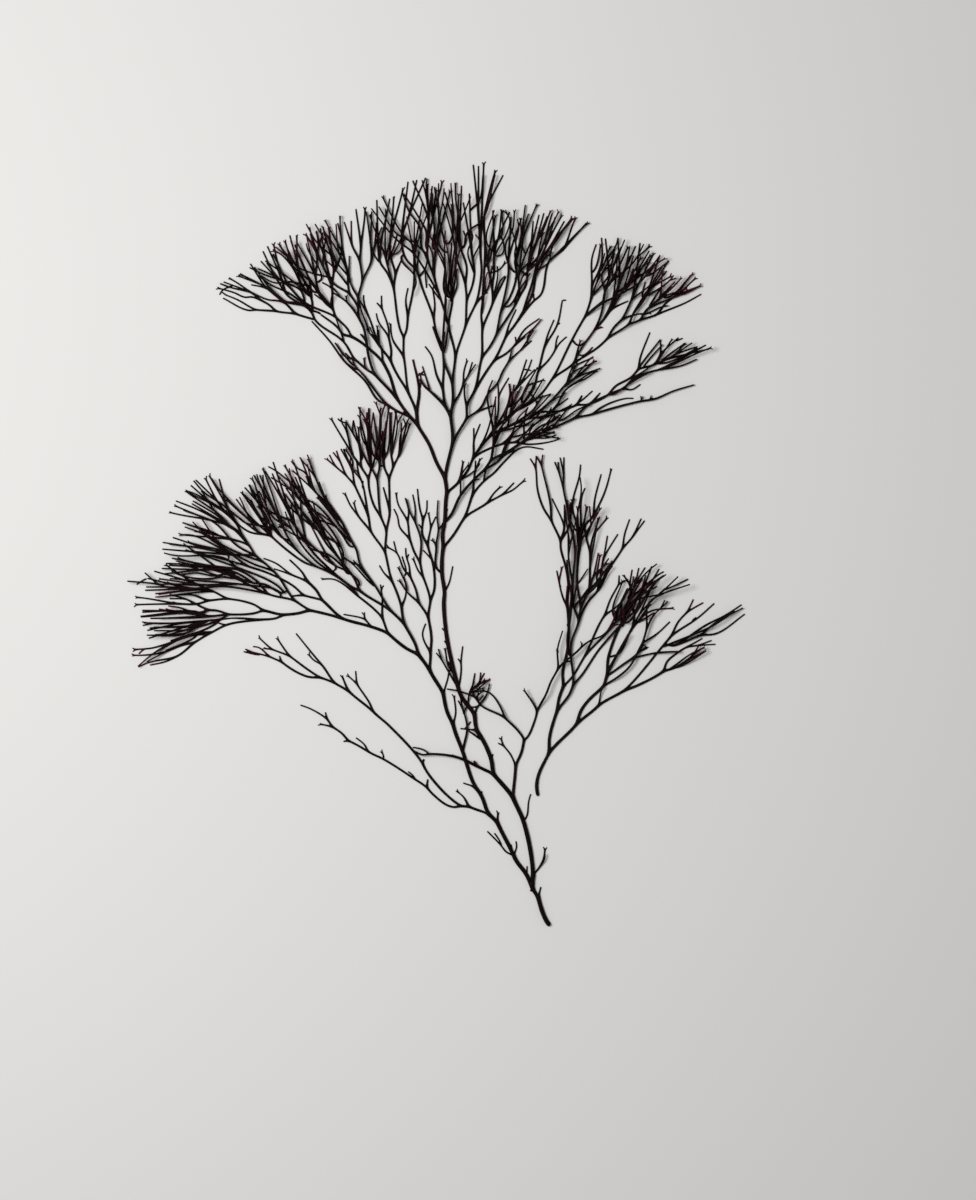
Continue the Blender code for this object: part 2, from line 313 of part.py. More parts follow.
    (0.6, 4, [(-83, 246.2), (-87, 253), (-92, 263), (-86, 264)]),
    (0.6, 4, [(-78, 252), (-81, 258), (-87, 267), (-82, 269)]),
    (0.6, 4, [(-101.5, 239.3), (-107, 244), (-119, 249), (-113, 252)]),
],
"crown_middle": [
    (1.2, 1, [(-40.3, 171.5), (-39, 178), (-37.3, 185.5), (-37.8, 190), (-38.2, 195.5), (-40.3, 199.3), (-43, 202), (-46, 205), (-48, 206.7), (-49.5, 209)]),
    (0.5, 1, [(-46, 205), (-47.5, 210.5), (-49, 214.7)]),
    (0.9, 1, [(-40.3, 199.3), (-41.2, 206), (-43.5, 211), (-45.5, 218.8), (-48, 222.3)]),
    (0.8, 1, [(-41.2, 206), (-40.8, 214), (-41.3, 222), (-43.5, 227), (-44.7, 233), (-47, 239), (-49.5, 246), (-51, 251), (-55.5, 256)]),
    (0.5, 1, [(-44.7, 233), (-44.2, 238), (-45, 244)]),
    (0.5, 1, [(-41.3, 222), (-40.5, 228)]),
    (1.0, 1, [(-38.2, 195.5), (-37.3, 200), (-37.5, 208), (-39.5, 212.5), (-40.5, 216), (-41.5, 222)]),
    (0.9, 1, [(-37.5, 208), (-36.7, 214), (-36.3, 218.5), (-37.5, 223), (-39, 230.5), (-40.5, 235), (-42.3, 241.5), (-44.5, 249), (-47, 256)]),
    (0.5, 1, [(-39, 230.5), (-37.5, 240)]),
    (0.8, 1, [(-36.3, 218.5), (-34.5, 224), (-32.5, 230), (-32.5, 236), (-32, 240), (-32.5, 246), (-32, 252.7)]),
    (0.6, 1, [(-32, 240), (-30, 245), (-29, 251)]),
    (0.8, 1, [(-32.5, 230), (-30.5, 234.5), (-28.3, 239), (-27, 245), (-26.3, 252)]),
    (0.5, 1, [(-28.3, 239), (-25, 242.5)]),
    (0.8, 1, [(-37.3, 200), (-35, 203.5), (-33.3, 208), (-33.2, 212), (-32, 216.3)]),
    (0.6, 1, [(-33.3, 208), (-31.5, 211), (-29.8, 216.3)]),
    (1.0, 1, [(-37.3, 185.5), (-34.5, 190), (-32, 194.5), (-32, 199.3), (-32.8, 203), (-32.8, 207)]),
    (0.9, 1, [(-32, 199.3), (-30, 203), (-28.8, 205.5), (-28, 210), (-26.2, 218), (-26.3, 225), (-26, 229), (-26.5, 235), (-26, 240)]),
    (0.7, 1, [(-26, 229), (-24, 234), (-22, 239), (-22.3, 245), (-21.5, 250.5)]),
    (0.6, 1, [(-22, 239), (-19.5, 244.5), (-17, 249)]),
    (0.8, 1, [(-26.2, 218), (-23.5, 221.5), (-20.7, 226.5), (-20, 231), (-18.8, 235.8), (-17.8, 241), (-16, 250)]),
    (0.6, 1, [(-18.8, 235.8), (-15.5, 241), (-13, 248.5)]),
    (0.7, 1, [(-20.7, 226.5), (-18, 230.5), (-15.7, 235), (-12, 241), (-9, 246.5)]),
    (0.9, 1, [(-28.8, 205.5), (-25.5, 210), (-21.3, 217), (-19, 222), (-17, 226), (-13.5, 230.5), (-10.5, 235.5), (-7, 241.7)]),
    (0.6, 1, [(-17, 226), (-16, 230), (-13, 236.5)]),
    (0.7, 1, [(-21.3, 217), (-17.5, 219), (-13.7, 222.5), (-9.5, 226)]),
    (0.6, 1, [(-13.7, 222.5), (-10, 228.5), (-4, 233)]),
    (0.6, 1, [(-13.5, 230.5), (-6, 240), (-3.7, 241.8)]),
    (0.6, 1, [(-32, 194.5), (-28, 197.2), (-22.5, 199.3)]),
    (0.8, 1, [(-28, 197.2), (-26, 199.5), (-24, 203.8), (-20, 208.3), (-18.5, 212), (-15.8, 216.5), (-14.5, 222)]),
    (0.6, 1, [(-15.8, 216.5), (-12, 220), (-10, 221.8), (-7, 224.5)]),
],
"crown_top": [
    (0.6, 4, [(-65.5, 255), (-66.5, 278.5), (-61.5, 279)]),
    (0.6, 2, [(-61, 256), (-61.5, 262), (-60, 279), (-56.5, 282.3)]),
    (0.6, 5, [(-55.5, 256), (-57, 264), (-54.5, 285.5), (-47.7, 287)]),
    (0.6, 6, [(-47, 256), (-47, 262), (-47, 284), (-41.5, 285)]),
    (0.6, 4, [(-32, 252.7), (-34.5, 260.5), (-40.4, 281.5), (-34, 284)]),
    (0.6, 3, [(-29, 251), (-30, 257.5), (-33.3, 277.5), (-31, 281)]),
    (0.6, 5, [(-26.3, 252), (-26.7, 257), (-29.5, 292), (-25.5, 292)]),
    (0.6, 2, [(-26, 240), (-25, 258), (-25, 274), (-21.2, 289), (-18, 288)]),
    (0.6, 5, [(-21.5, 250.5), (-21.5, 258), (-22, 274.5), (-15.5, 273.8)]),
    (0.6, 4, [(-16, 250), (-16, 256), (-15, 272), (-11, 271.5)]),
    (0.6, 5, [(-13, 248.5), (-13, 255.5), (-9.5, 276.5), (-5.3, 276)]),
    (0.6, 6, [(-9, 246.5), (-8.7, 252), (-6.5, 270.5), (-1, 272.3)]),
    (0.6, 6, [(-7, 241.7), (-4.5, 254), (2, 272), (8, 271)]),
    (0.6, 3, [(-3.7, 241.8), (-0.3, 255), (5, 259.3), (9.5, 271), (14, 269.7)]),
],
"crown_top_over": [
    (0.6, 4, [(-44.5, 249), (-44, 258), (-45.5, 280), (-38.5, 281)]),
    (0.6, 4, [(-49.5, 246), (-52, 256), (-55, 272), (-49, 277)]),
    (0.6, 5, [(-32.5, 246), (-36, 257), (-41, 277), (-35, 280)]),
    (0.6, 4, [(-52.2, 247), (-52, 257), (-52, 270), (-47, 273)]),
    (0.6, 4, [(-60, 244.5), (-63, 256), (-69, 272), (-63, 275)]),
    (0.6, 4, [(-37.5, 240), (-38, 249), (-40, 263), (-36, 264)]),
    (0.6, 4, [(-22.3, 245), (-24, 254), (-26, 270), (-21, 272)]),
    (0.6, 4, [(-12, 241), (-12, 250), (-10, 268), (-5, 268)]),
    (0.6, 4, [(-10.5, 235.5), (-7, 246), (-3, 265), (2, 264)]),
],
"right_thicket": [
    (0.9, 1, [(-39.6, 166), (-35, 170.3), (-31.5, 174.8), (-29.5, 179.5), (-26.5, 183), (-24, 187), (-21.5, 190.5), (-19, 194.5),
              (-16.5, 199), (-15.3, 203.5), (-15.6, 208)]),
    (0.6, 1, [(-35, 170.3), (-34.2, 173), (-33.5, 177.3)]),
    (0.6, 2, [(-29.5, 179.5), (-29.3, 186), (-29.3, 191), (-26.8, 192.6)]),
    (1.0, 1, [(-40.5, 154.5), (-38, 157.5), (-36, 161.5), (-34.4, 165), (-31, 168.5), (-28.8, 171.5), (-25, 175), (-22.7, 178.5),
              (-22.2, 183), (-21.7, 189), (-22.5, 194), (-23.8, 200), (-24, 203.7), (-22, 209.3)]),
    (0.6, 1, [(-34.4, 165), (-34.2, 169), (-33.9, 173), (-31.5, 176.5)]),
    (0.6, 1, [(-25, 175), (-20, 178), (-17.5, 180.5), (-13.5, 182.5)]),
    (0.9, 1, [(-41, 145), (-37, 150), (-32.8, 156.7), (-31.3, 161), (-29.8, 165.3), (-29.3, 170), (-28.8, 174), (-27, 178.7)]),
    (0.8, 1, [(-29.8, 165.3), (-27, 168.8), (-25.5, 170.5), (-21.5, 173.7), (-17.8, 177.8), (-13.5, 181.5), (-10.8, 183.5), (-5, 183.3), (-2.5, 182.8)]),
    (0.6, 1, [(-25.5, 170.5), (-24.7, 174), (-23.5, 177.3), (-19, 180), (-14.5, 182.5)]),
    (0.8, 1, [(-32.8, 156.7), (-28, 159.5), (-24, 162.3), (-18.5, 165.3), (-14.5, 167), (-10.3, 170.5)]),
    (0.6, 1, [(-24, 162.3), (-22, 165.5), (-19.5, 168)]),
    (0.6, 1, [(-18.5, 165.3), (-16.5, 167.3), (-13.8, 170)]),
    (0.8, 1, [(-29.5, 179.5), (-26, 181.3), (-22, 182.8), (-18.5, 184.8), (-13.5, 185.5), (-9, 184.7), (-3, 185.7), (1.5, 186), (4, 187)]),
    (0.8, 1, [(-24, 187), (-20.5, 189.5), (-15, 192), (-9, 194.3), (-4, 197), (2.5, 197.2), (6.5, 198.2), (10, 199.8), (15, 200),
              (22, 203.5), (25, 207), (31, 210.3), (33.8, 213.5), (34.3, 217), (36, 222), (38.3, 227.7)]),
    (0.9, 1, [(-22.7, 178.5), (-16, 182), (-10, 186), (-4, 188.5), (0, 190.5), (5, 193), (9.5, 194.8), (16.5, 196.3), (26, 198.8),
              (34.8, 201.2), (40, 202), (47, 205), (55.3, 207.5)]),
    (0.7, 1, [(16.5, 196.3), (19, 198.5), (25, 200.5), (29, 202.3), (32, 202.3)]),
    (0.8, 1, [(9.5, 194.8), (13.5, 199), (17, 201), (21.5, 203.3), (28, 206), (31.5, 209.5), (35, 211), (38.5, 212.5), (44.5, 213.5),
              (50, 214.7), (56.3, 217.3)]),
    (0.6, 8, [(33.8, 213.5), (40, 215.3), (42.3, 225), (61, 221.3)]),
    (0.5, 1, [(28, 206), (31, 205.5), (34.7, 207.7)]),
    (0.5, 1, [(10, 199.8), (12.3, 203.5)]),
    (0.5, 1, [(15, 200), (17.5, 203), (19.3, 204.5)]),
    (0.8, 1, [(-21.5, 190.5), (-14, 197), (-7.5, 200.5), (-3, 204.5), (1, 210), (3.5, 215), (6, 220), (8.5, 225), (13.3, 233.5)]),
    (0.6, 1, [(8.5, 225), (10.5, 222.5), (14, 225.5), (17, 228.5)]),
    (0.8, 1, [(1, 210), (5, 212.5), (9, 215.7), (12, 217.3), (15, 219.5), (18.5, 222), (22, 225.3)]),
    (0.5, 1, [(9, 215.7), (10, 220), (11.5, 224)]),
    (0.6, 5, [(-9, 194.3), (-1, 200), (3, 204), (6.3, 208), (10.5, 216), (19.3, 213.8)]),
    (0.8, 1, [(-14, 197), (-9.5, 201.5), (-6, 207), (-4.5, 213), (-3.5, 218), (-2.2, 222), (-1, 226.5), (1.5, 232.5)]),
    (0.7, 1, [(-2.2, 222), (0.5, 226), (2.7, 230.5), (3.2, 234), (4.7, 240)]),
    (0.7, 1, [(-4.5, 213), (-1, 216.5), (2, 221), (3.6, 223.5), (6.4, 226)]),
    (0.5, 1, [(2, 221), (2.4, 225), (3.2, 226.5)]),
    (0.6, 6, [(-10, 186), (-4, 190), (2, 197), (3, 191)]),
    (0.6, 5, [(-13.5, 185.5), (-9, 188.5), (-1, 191), (2.5, 187)]),
    (0.6, 4, [(-14, 197), (-8, 201), (-3, 209), (0.5, 204)]),
    (0.6, 2, [(-15.3, 203.5), (-13, 206), (-9, 217.3), (-5.8, 213.5)]),
    (0.6, 3, [(-15, 192), (-9, 197), (-5, 200), (-8.3, 205), (-3, 203)]),
],
"right_fan": [
    (0.7, 1, [(13.3, 233.5), (15.7, 240.5), (16, 245.5), (15.7, 251), (16, 256), (17.7, 261.5)]),
    (0.6, 1, [(16, 245.5), (19, 252), (20, 257), (19.7, 264)]),
    (0.5, 1, [(13.3, 233.5), (17, 236.5), (20.5, 240)]),
    (0.7, 1, [(17, 228.5), (19.5, 234.5), (20.5, 239), (21, 243.8), (19.8, 247), (20, 251)]),
    (0.6, 3, [(21, 243.8), (22.5, 248), (21.2, 263.7), (25, 261)]),
    (0.7, 1, [(17, 228.5), (20.5, 232.5), (23.5, 236.5), (25, 241), (26.5, 246)]),
    (0.5, 1, [(23.5, 236.5), (27, 238.3), (30, 239.7)]),
    (0.6, 4, [(26.5, 246), (26, 264), (32.8, 260.8)]),
    (0.7, 1, [(22, 225.3), (24, 229), (27.5, 232.5), (29.5, 236.5), (31.5, 241)]),
    (0.6, 3, [(31.5, 241), (34.5, 262), (39.5, 257.5)]),
    (0.6, 1, [(27.5, 232.5), (32, 234.3), (38, 235)]),
    (0.7, 1, [(22, 225.3), (26, 228.3), (30, 230.5), (32, 235), (36, 240)]),
    (0.6, 4, [(36, 240), (42, 257), (45, 254.5)]),
    (0.6, 1, [(30, 230.5), (34.5, 232.3), (36.5, 235.8), (42, 241)]),
    (0.6, 4, [(42, 241), (43, 250), (48, 247)]),
    (0.6, 1, [(34.5, 232.3), (41, 234.5), (44, 238.5), (48, 241.5)]),
    (0.5, 3, [(48, 241.5), (54, 249.7), (57.5, 245.5)]),
    (0.6, 1, [(41, 234.5), (47, 237), (52, 239), (58, 242.3)]),
],
"right_fan_over": [
    (0.6, 4, [(20.5, 232.5), (24, 240), (26, 258), (30, 256)]),
    (0.6, 5, [(23.5, 236.5), (28, 244), (32, 257), (37, 254)]),
    (0.6, 5, [(32, 235), (37, 243), (43, 253), (46, 249)]),
    (0.6, 4, [(36.5, 235.8), (43, 241), (50, 248), (52, 244)]),
    (0.6, 3, [(15.7, 240.5), (18, 247), (21, 258), (24, 257)]),
],
"side_branch": [
    (1.2, 1, [(-4.6, 49.6), (-5.2, 53), (-4.6, 57.5), (-3, 61.5), (-0.5, 66.3)]),
    (1.1, 1, [(-0.5, 66.3), (-0.3, 72), (1, 77), (2.6, 82.3), (3.3, 87), (5, 91.7), (4.8, 97), (5.5, 101.5), (6.8, 107), (7, 112), (6.6, 122.5)]),
    (0.7, 1, [(5, 91.7), (8.5, 95.5), (13.3, 103.5)]),
    (0.9, 1, [(2.6, 82.3), (5, 85), (7.5, 89), (8.8, 92.3), (8.4, 104), (8, 108), (9.5, 111.5), (11, 117), (11.7, 122.3)]),
    (0.7, 1, [(8.8, 92.3), (12, 96), (18.8, 106)]),
    (0.6, 1, [(6.6, 122.5), (5.2, 125), (3.7, 131.5), (2.5, 136.3)]),
    (0.7, 1, [(6.6, 122.5), (7, 127), (7, 131), (6, 137.5), (4, 145), (4, 147.5), (0.5, 155.3), (-2.5, 160), (-4.8, 167), (-5.5, 175.5)]),
    (0.5, 1, [(7, 131), (6.4, 140.5)]),
    (0.5, 2, [(-5.5, 175.5), (-7.7, 179.3), (-5.3, 180.3)]),
    (0.6, 2, [(0.5, 155.3), (0.2, 161), (-1.5, 169), (-3.3, 176.5), (-5.5, 180.3), (-2.8, 180.8)]),
    (0.6, 1, [(4, 147.5), (5.5, 153), (2.5, 159), (0.7, 164)]),
    (0.5, 1, [(5.5, 153), (5.5, 161.7)]),
    (0.8, 1, [(11, 117), (9, 122.3), (8.6, 131), (9.5, 145), (8.5, 150), (7, 158), (5, 168), (3.5, 173.5)]),
    (0.5, 2, [(3.5, 173.5), (1.7, 178), (3, 178)]),
    (0.5, 2, [(5, 168), (5.2, 173), (3.8, 179.7), (5.3, 179.8)]),
    (0.7, 1, [(11.7, 122.3), (10.4, 131), (10.7, 140), (11.6, 146), (12, 149.5), (10, 155), (8.5, 160.5), (10, 166), (11.3, 173), (11.7, 177)]),
    (0.6, 1, [(12, 149.5), (12.3, 156), (12.2, 165), (13.4, 168)]),
    (0.8, 1, [(11.7, 122.3), (13.2, 125.5), (14.8, 128.5), (14.9, 136.5), (15.3, 143.5), (13.8, 149.3), (13.3, 153.5), (16.5, 157), (17, 163), (19.6, 173.3)]),
    (0.6, 1, [(16.5, 157), (18.5, 160.5), (21, 166.5), (23.3, 174.7)]),
    (0.6, 1, [(15.3, 143.5), (16.7, 150), (18, 155), (19, 157)]),
    (0.5, 1, [(16.7, 150), (19, 152.5), (21.5, 156)]),
    (0.8, 1, [(11, 117), (12.5, 120.5), (14.5, 124.3), (18.5, 129), (20, 136.5), (20.5, 141)]),
    (0.6, 2, [(20.5, 141), (22, 149.7), (26, 150.3)]),
    (0.6, 1, [(18.5, 129), (21, 134.5), (24, 138.5), (27.7, 144.7), (28.5, 150), (30.5, 156)]),
    (0.6, 2, [(27.7, 144.7), (31.5, 149), (35, 156.3), (36.3, 155.5)]),
    (0.6, 3, [(14.8, 128.5), (16.5, 134), (18.5, 143.2), (21.5, 138.8)]),
    (1.1, 1, [(-0.5, 66.3), (5, 72), (10.2, 77.5), (11.5, 82), (14.5, 86.3), (18.5, 90.5), (20.5, 92), (21.7, 95.7), (22.3, 103),
              (24.5, 108.5), (27.3, 115), (30, 121)]),
    (1.0, 1, [(10.2, 77.5), (14, 80.5), (18.7, 84.7), (23.5, 87.5), (28.5, 90.3), (33, 92), (38, 95), (43.5, 97.7), (48, 99), (52, 101.5),
              (57, 104), (59.5, 105.3)]),
    (0.6, 1, [(18.7, 84.7), (19.5, 90), (20.5, 92)]),
    (0.8, 1, [(28.5, 90.3), (32.5, 95), (37.5, 100.5), (41, 104.8), (44, 108.3), (46.5, 111.3), (49, 116.5), (52.5, 120.3)]),
    (0.6, 3, [(52.5, 120.3), (55, 125.3), (58.8, 124)]),
    (0.7, 1, [(43.5, 97.7), (44.5, 101), (48.5, 104.5), (52.5, 107), (58.5, 110.3)]),
    (0.6, 1, [(22.3, 103), (26, 104), (30, 112), (31, 113.5), (34, 116.7), (38, 120.5), (46.5, 121.8)]),
    (0.7, 1, [(21.7, 95.7), (26, 99), (31, 102.3), (36, 103.5), (41, 104.8), (50, 105.3)]),
    (0.8, 1, [(20.5, 92), (26, 95.5), (30.5, 99.5), (35.3, 108.3), (37, 114), (39.5, 119), (42.5, 122)]),
    (0.5, 2, [(42.5, 122), (44, 125), (45.3, 124.5)]),
    (0.6, 1, [(35.3, 108.3), (41, 112), (46, 116.7)]),
    (0.6, 1, [(46.5, 111.3), (51.5, 115), (56.5, 118), (58.5, 120), (63, 123.7)]),
    (0.6, 1, [(44, 108.3), (47, 107.3), (54, 112), (60, 115.5), (67, 119), (73.5, 123.2)]),
    (0.6, 1, [(47, 107.3), (57.5, 111.5), (63, 116), (74, 122)]),
    (0.6, 1, [(57.5, 111.5), (63.5, 112), (68, 115), (74.7, 119.6)]),
    (0.7, 1, [(13.3, 103.5), (16, 110), (19, 116), (20.8, 119), (23, 125), (26.3, 131)]),
    (0.5, 1, [(20.8, 119), (25, 122), (28.5, 125.5)]),
    (0.7, 1, [(13.3, 103.5), (18, 108.5), (24, 115), (28, 121)]),
    (0.7, 1, [(18.8, 106), (24, 112), (29, 117.5)]),
    (0.6, 6, [(28, 121), (31, 127.5), (28.5, 134), (36.5, 137.5)]),
    (0.6, 5, [(28, 121), (34.5, 127), (39, 138), (43.7, 134.5)]),
    (0.6, 4, [(29, 117.5), (33.5, 122), (36.5, 134), (41.5, 133)]),
    (0.6, 3, [(26.3, 131), (26.5, 134.5), (30, 133)]),
    (0.6, 4, [(31, 113.5), (34.5, 120), (40, 132.5), (44, 129.5)]),
    (0.6, 3, [(7, 158), (6.5, 163.5), (9.5, 164)]),
    (0.6, 4, [(10.7, 140), (11, 147), (10.5, 160), (14.5, 161)]),
    (0.6, 3, [(8.6, 131), (7, 142), (6.8, 154), (10, 156)]),
    (0.6, 3, [(13.8, 149.3), (15.6, 153), (15, 161), (18.3, 160)]),
    (0.6, 3, [(18.5, 129), (17.8, 134), (19, 141.5), (22.5, 141)]),
    (0.6, 3, [(4, 147.5), (7.5, 154), (6.5, 162), (8.5, 162.5)]),
    (0.5, 2, [(31, 102.3), (34, 105), (35.5, 107.5), (37.3, 106.5)]),
    (0.6, 2, [(52.5, 107), (56.5, 107.5), (62, 109.5), (63.5, 108)]),
    (0.5, 2, [(52, 101.5), (54.5, 103.7), (57, 107.5), (58.6, 106.6)]),
    (0.6, 5, [(30, 121), (33, 125), (37.7, 131.5), (41.5, 127)]),
    (0.7, 3, [(37, 114), (37.5, 123.5), (41, 126.5), (49, 134), (53.5, 131)]),
],
    "strands": [
        (0.7, 1, [(-29.5, 179.5), (-24.6, 188), (-20.7, 203)]),
        (0.6, 1, [(-113, 142), (-120, 145.8), (-128.6, 154.6), (-140.6, 159.4)]),
        (0.6, 1, [(-118.5, 150.5), (-135, 159.6), (-143.6, 163)]),
        (0.6, 1, [(-113.7, 153.7), (-127.6, 168.4), (-129.6, 171.6)]),
        (0.7, 1, [(-74.9, 144.7), (-81.8, 157.9), (-92.4, 169.4), (-93.3, 172)]),
        (0.6, 1, [(-75.8, 145.1), (-79.2, 149.4), (-81.8, 152.8), (-89.4, 161.3), (-95, 164.7),
            (-96.7, 166.9)]),
        (0.7, 1, [(-77.5, 134.9), (-80, 145.1), (-86, 149.4), (-99.7, 160.5), (-105.2, 167.7)]),
        (0.6, 1, [(-81.8, 137), (-84.3, 140), (-91.1, 145.6), (-101, 157)]),
        (0.7, 1, [(-101.8, 127.7), (-109.5, 131.1), (-113.7, 131.5), (-118, 132.8), (-126.1, 134),
            (-137.2, 137.5), (-141.4, 138.3)]),
        (0.6, 1, [(-103.1, 126.8), (-115.9, 130.7), (-119.3, 131.1), (-145.7, 133.2)]),
        (0.6, 1, [(-101.8, 127.7), (-104.8, 130.7), (-120.1, 137.5), (-139.7, 144.3)]),
        (0.6, 1, [(-113.7, 131.5), (-120.1, 135.3), (-142.3, 140.9)]),
        (0.6, 1, [(-119.3, 131.1), (-140, 130.8), (-146, 131.4)]),
        (0.6, 1, [(-120.1, 137.5), (-124.4, 140.9), (-144.4, 142.1), (-147.8, 143)]),
        (0.6, 1, [(-122.7, 140.9), (-131.2, 144.3), (-146.1, 146.4)]),
        (0.6, 1, [(-94, 239), (-95.6, 243.8), (-99, 245.5), (-101.5, 246.8), (-110, 249.8),
            (-115.2, 252.3)]),
        (0.7, 1, [(-83.3, 236.5), (-92.6, 248.9), (-96.8, 257.9)]),
        (0.8, 1, [(-42.7, 241.2), (-48.3, 251.8), (-52.1, 257.4), (-59.3, 263.3), (-68.5, 274.8)]),
        (0.6, 1, [(-48.3, 258.2), (-50, 268), (-54.2, 274), (-56.6, 281.2)]),
        (0.6, 1, [(-40.4, 258.2), (-40.6, 282.5)]),
        (0.8, 1, [(-39.5, 241.2), (-40.6, 254.8), (-44.4, 261.6), (-47.4, 266.7)]),
        (0.7, 1, [(-39.5, 241.2), (-40.4, 258.2), (-40.2, 266.3)]),
        (0.6, 1, [(-32.9, 260.4), (-32.5, 264.2), (-29.9, 267.6), (-26.9, 269.3), (-21, 288)]),
        (0.6, 1, [(-25.7, 252.3), (-23.5, 254.8), (-22.3, 258.6), (-24.4, 261.6), (-21.4, 274.4)]),
        (0.6, 1, [(-21.4, 250.6), (-21.8, 254.4), (-20.6, 258.2), (-17.2, 264.2), (-15.4, 271),
            (-16.7, 273.1)]),
        (0.6, 1, [(-8.4, 251.9), (0.1, 257.8), (0.9, 260.8), (9, 271.1)]),
        (0.7, 1, [(13.3, 233.4), (20.1, 238.7), (23.5, 240.4), (35, 247.2), (39.3, 252.7), (43.6, 255.5)]),
        (0.6, 1, [(20.1, 238.7), (21.4, 244.2), (32, 254.4), (35.9, 261.3)]),
        (0.6, 1, [(15.9, 241.2), (22.3, 248.9), (28.6, 263)]),
        (0.6, 1, [(23.5, 236.5), (26.5, 246.8), (29.1, 253.6), (30.4, 260.4)]),
        (0.6, 1, [(-73, 130.6), (-78.1, 136.6), (-81, 145.1), (-88.3, 154.5), (-92.6, 158.8)]),
        (0.7, 1, [(-131.9, 117.2), (-152.3, 116), (-156.3, 116.6)]),
    ],
    "side_strands": [
        (0.7, 1, [(10.3, 144.5), (10.2, 155.2), (11.9, 167.6), (11.4, 172)]),
        (0.7, 1, [(27, 117), (40.8, 134.2), (43.6, 135.9)]),
        (0.7, 1, [(28.8, 116.1), (33, 120.4), (39.1, 130.7), (44.4, 134.8)]),
        (0.8, 1, [(21, 112), (34.3, 128), (36.6, 134.5)]),
        (0.6, 1, [(42.8, 106.7), (63.1, 115.6), (70.8, 120.8)]),
    ],
}


class Fork:
    """A point of the plant, with the points that grow from it."""

    def __init__(self, spot, width):
        self.spot = spot
        self.width = width
        self.grows = []


def mix(a, b, t):
    """Point between a and b."""
    return tuple(u + (v - u) * t for u, v in zip(a, b))


def off_line(p, a, b):
    """Distance of p from the line through a and b."""
    across = (b[0] - a[0]) * (p[1] - a[1]) - (b[1] - a[1]) * (p[0] - a[0])
    return abs(across) / math.dist(a, b)


def thinned(points, roots):
    """The route without the points that hardly bend it. Points where a branch starts stay."""
    if len(points) < 3:
        return list(points)
    kept = [points[0]]
    skipped = []
    for here, after in zip(points[1:], points[2:]):
        skipped.append(here)
        straight = all(off_line(p, kept[-1], after) < STRAIGHT for p in skipped)
        if here in roots or not straight:
            kept.append(here)
            skipped = []
    return kept + [points[-1]]


def tip_places(fork, left, right, count, draw):
    """Tips between the two outer ones, on an arc that bulges away from the fork."""
    middle = mix(left, right, 0.5)
    reach = math.dist(fork, middle)
    outward = ((middle[0] - fork[0]) / reach, (middle[1] - fork[1]) / reach)
    places = []
    for i in range(count):
        t = i / (count - 1)
        rise = ARC_RISE * math.dist(left, right) * 4 * t * (1 - t)
        if 0 < i < count - 1:
            rise += TIP_SCATTER - min(TIP_SET_BACK, SET_BACK_SHARE * reach) * draw.random() ** 2
        spot = mix(left, right, t)
        places.append((spot[0] + outward[0] * rise, spot[1] + outward[1] * rise))
    return places


def fan(path, tips, draw):
    """The path carried on to one of the tips, and the paths that fork off it to the others."""
    if len(tips) == 1:
        return [path + tips]
    cut = len(tips) // 2 + (len(tips) % 2) * draw.randint(0, 1)
    paths = []
    for start, group in zip((path, path[-1:]), (tips[:cut], tips[cut:])):
        if len(group) > 1:
            share = draw.uniform(0.85, 1.15) / (math.ceil(math.log2(len(group))) + LAST_RUN)
            start = start + [mix(path[-1], mix(group[0], group[-1], 0.5), share)]
        paths += fan(start, group, draw)
    return paths


def paths_of(branch, roots, draw):
    """The paths that a branch of the plan is made of, its main one first."""
    _, tips, points = branch
    if tips == 1:
        return [thinned(points, roots)]
    route, left, right = thinned(points[:-2], roots), points[-2], points[-1]
    room = math.dist(left, right) / TIP_SPACING
    count = max(2, round(min(tips * TIPS_KEPT, room + 1)))
    return fan(route, tip_places(route[-1], left, right, count, draw), draw)


def with_neck(path, width):
    """The path with a point where the branch has shrunk from its parent's width to its own."""
    share = min(0.5, NECK * width / math.dist(path[0], path[1]))
    return [path[0], mix(path[0], path[1], share)] + path[1:]


def laid(paths, width, start, layer):
    """The paths as strands of (point, width), at the height where the branch lies."""
    total = max(1.0, sum(math.dist(a, b) for a, b in zip(paths[0], paths[0][1:])))
    passed = {paths[0][0]: 0.0}
    strands = []
    for path in paths:
        strand = []
        for before, spot in zip([path[0]] + path, path):
            run = passed.setdefault(spot, passed[before] + math.dist(before, spot))
            t = min(1.0, run / CLIMB)
            height = start + (layer - start) * t * t * (3 - 2 * t)
            strand.append((Vector((*spot, height)), max(FINEST, width * (1 - 0.15 * run / total))))
        strands.append(strand)
    return strands


def samples(strands):
    """Points a millimetre apart along the strands, each with its width and the ends of its run."""
    for strand in strands:
        for (a, wide), (b, _) in zip(strand, strand[1:]):
            steps = max(1, math.ceil((b - a).length))
            ends = {tuple(a.xy), tuple(b.xy)}
            for i in range(steps + 1):
                yield a.lerp(b, i / steps), wide, ends


def join(crowd, strands):
    """Add the samples of the strands to the crowd."""
    for sample in samples(strands):
        cell = (int(sample[0].x // 2), int(sample[0].y // 2))
        crowd.setdefault(cell, []).append(sample)


def touching(strands, crowd):
    """Pairs of samples, of the strands and of those laid before them, that lie in one another."""
    for p, wide, ends in samples(strands):
        cell = (int(p.x // 2), int(p.y // 2))
        near = [s for i in (-1, 0, 1) for j in (-1, 0, 1) for s in crowd.get((cell[0] + i, cell[1] + j), ())]
        for q, other, other_ends in near:
            upper = wide if p.z < q.z else other
            beside = (p - q).xy.length > (wide + other) / 2 + GAP
            if not beside and abs(p.z - q.z) < upper * THICKNESS + GAP:
                yield p, q, ends.isdisjoint(other_ends)


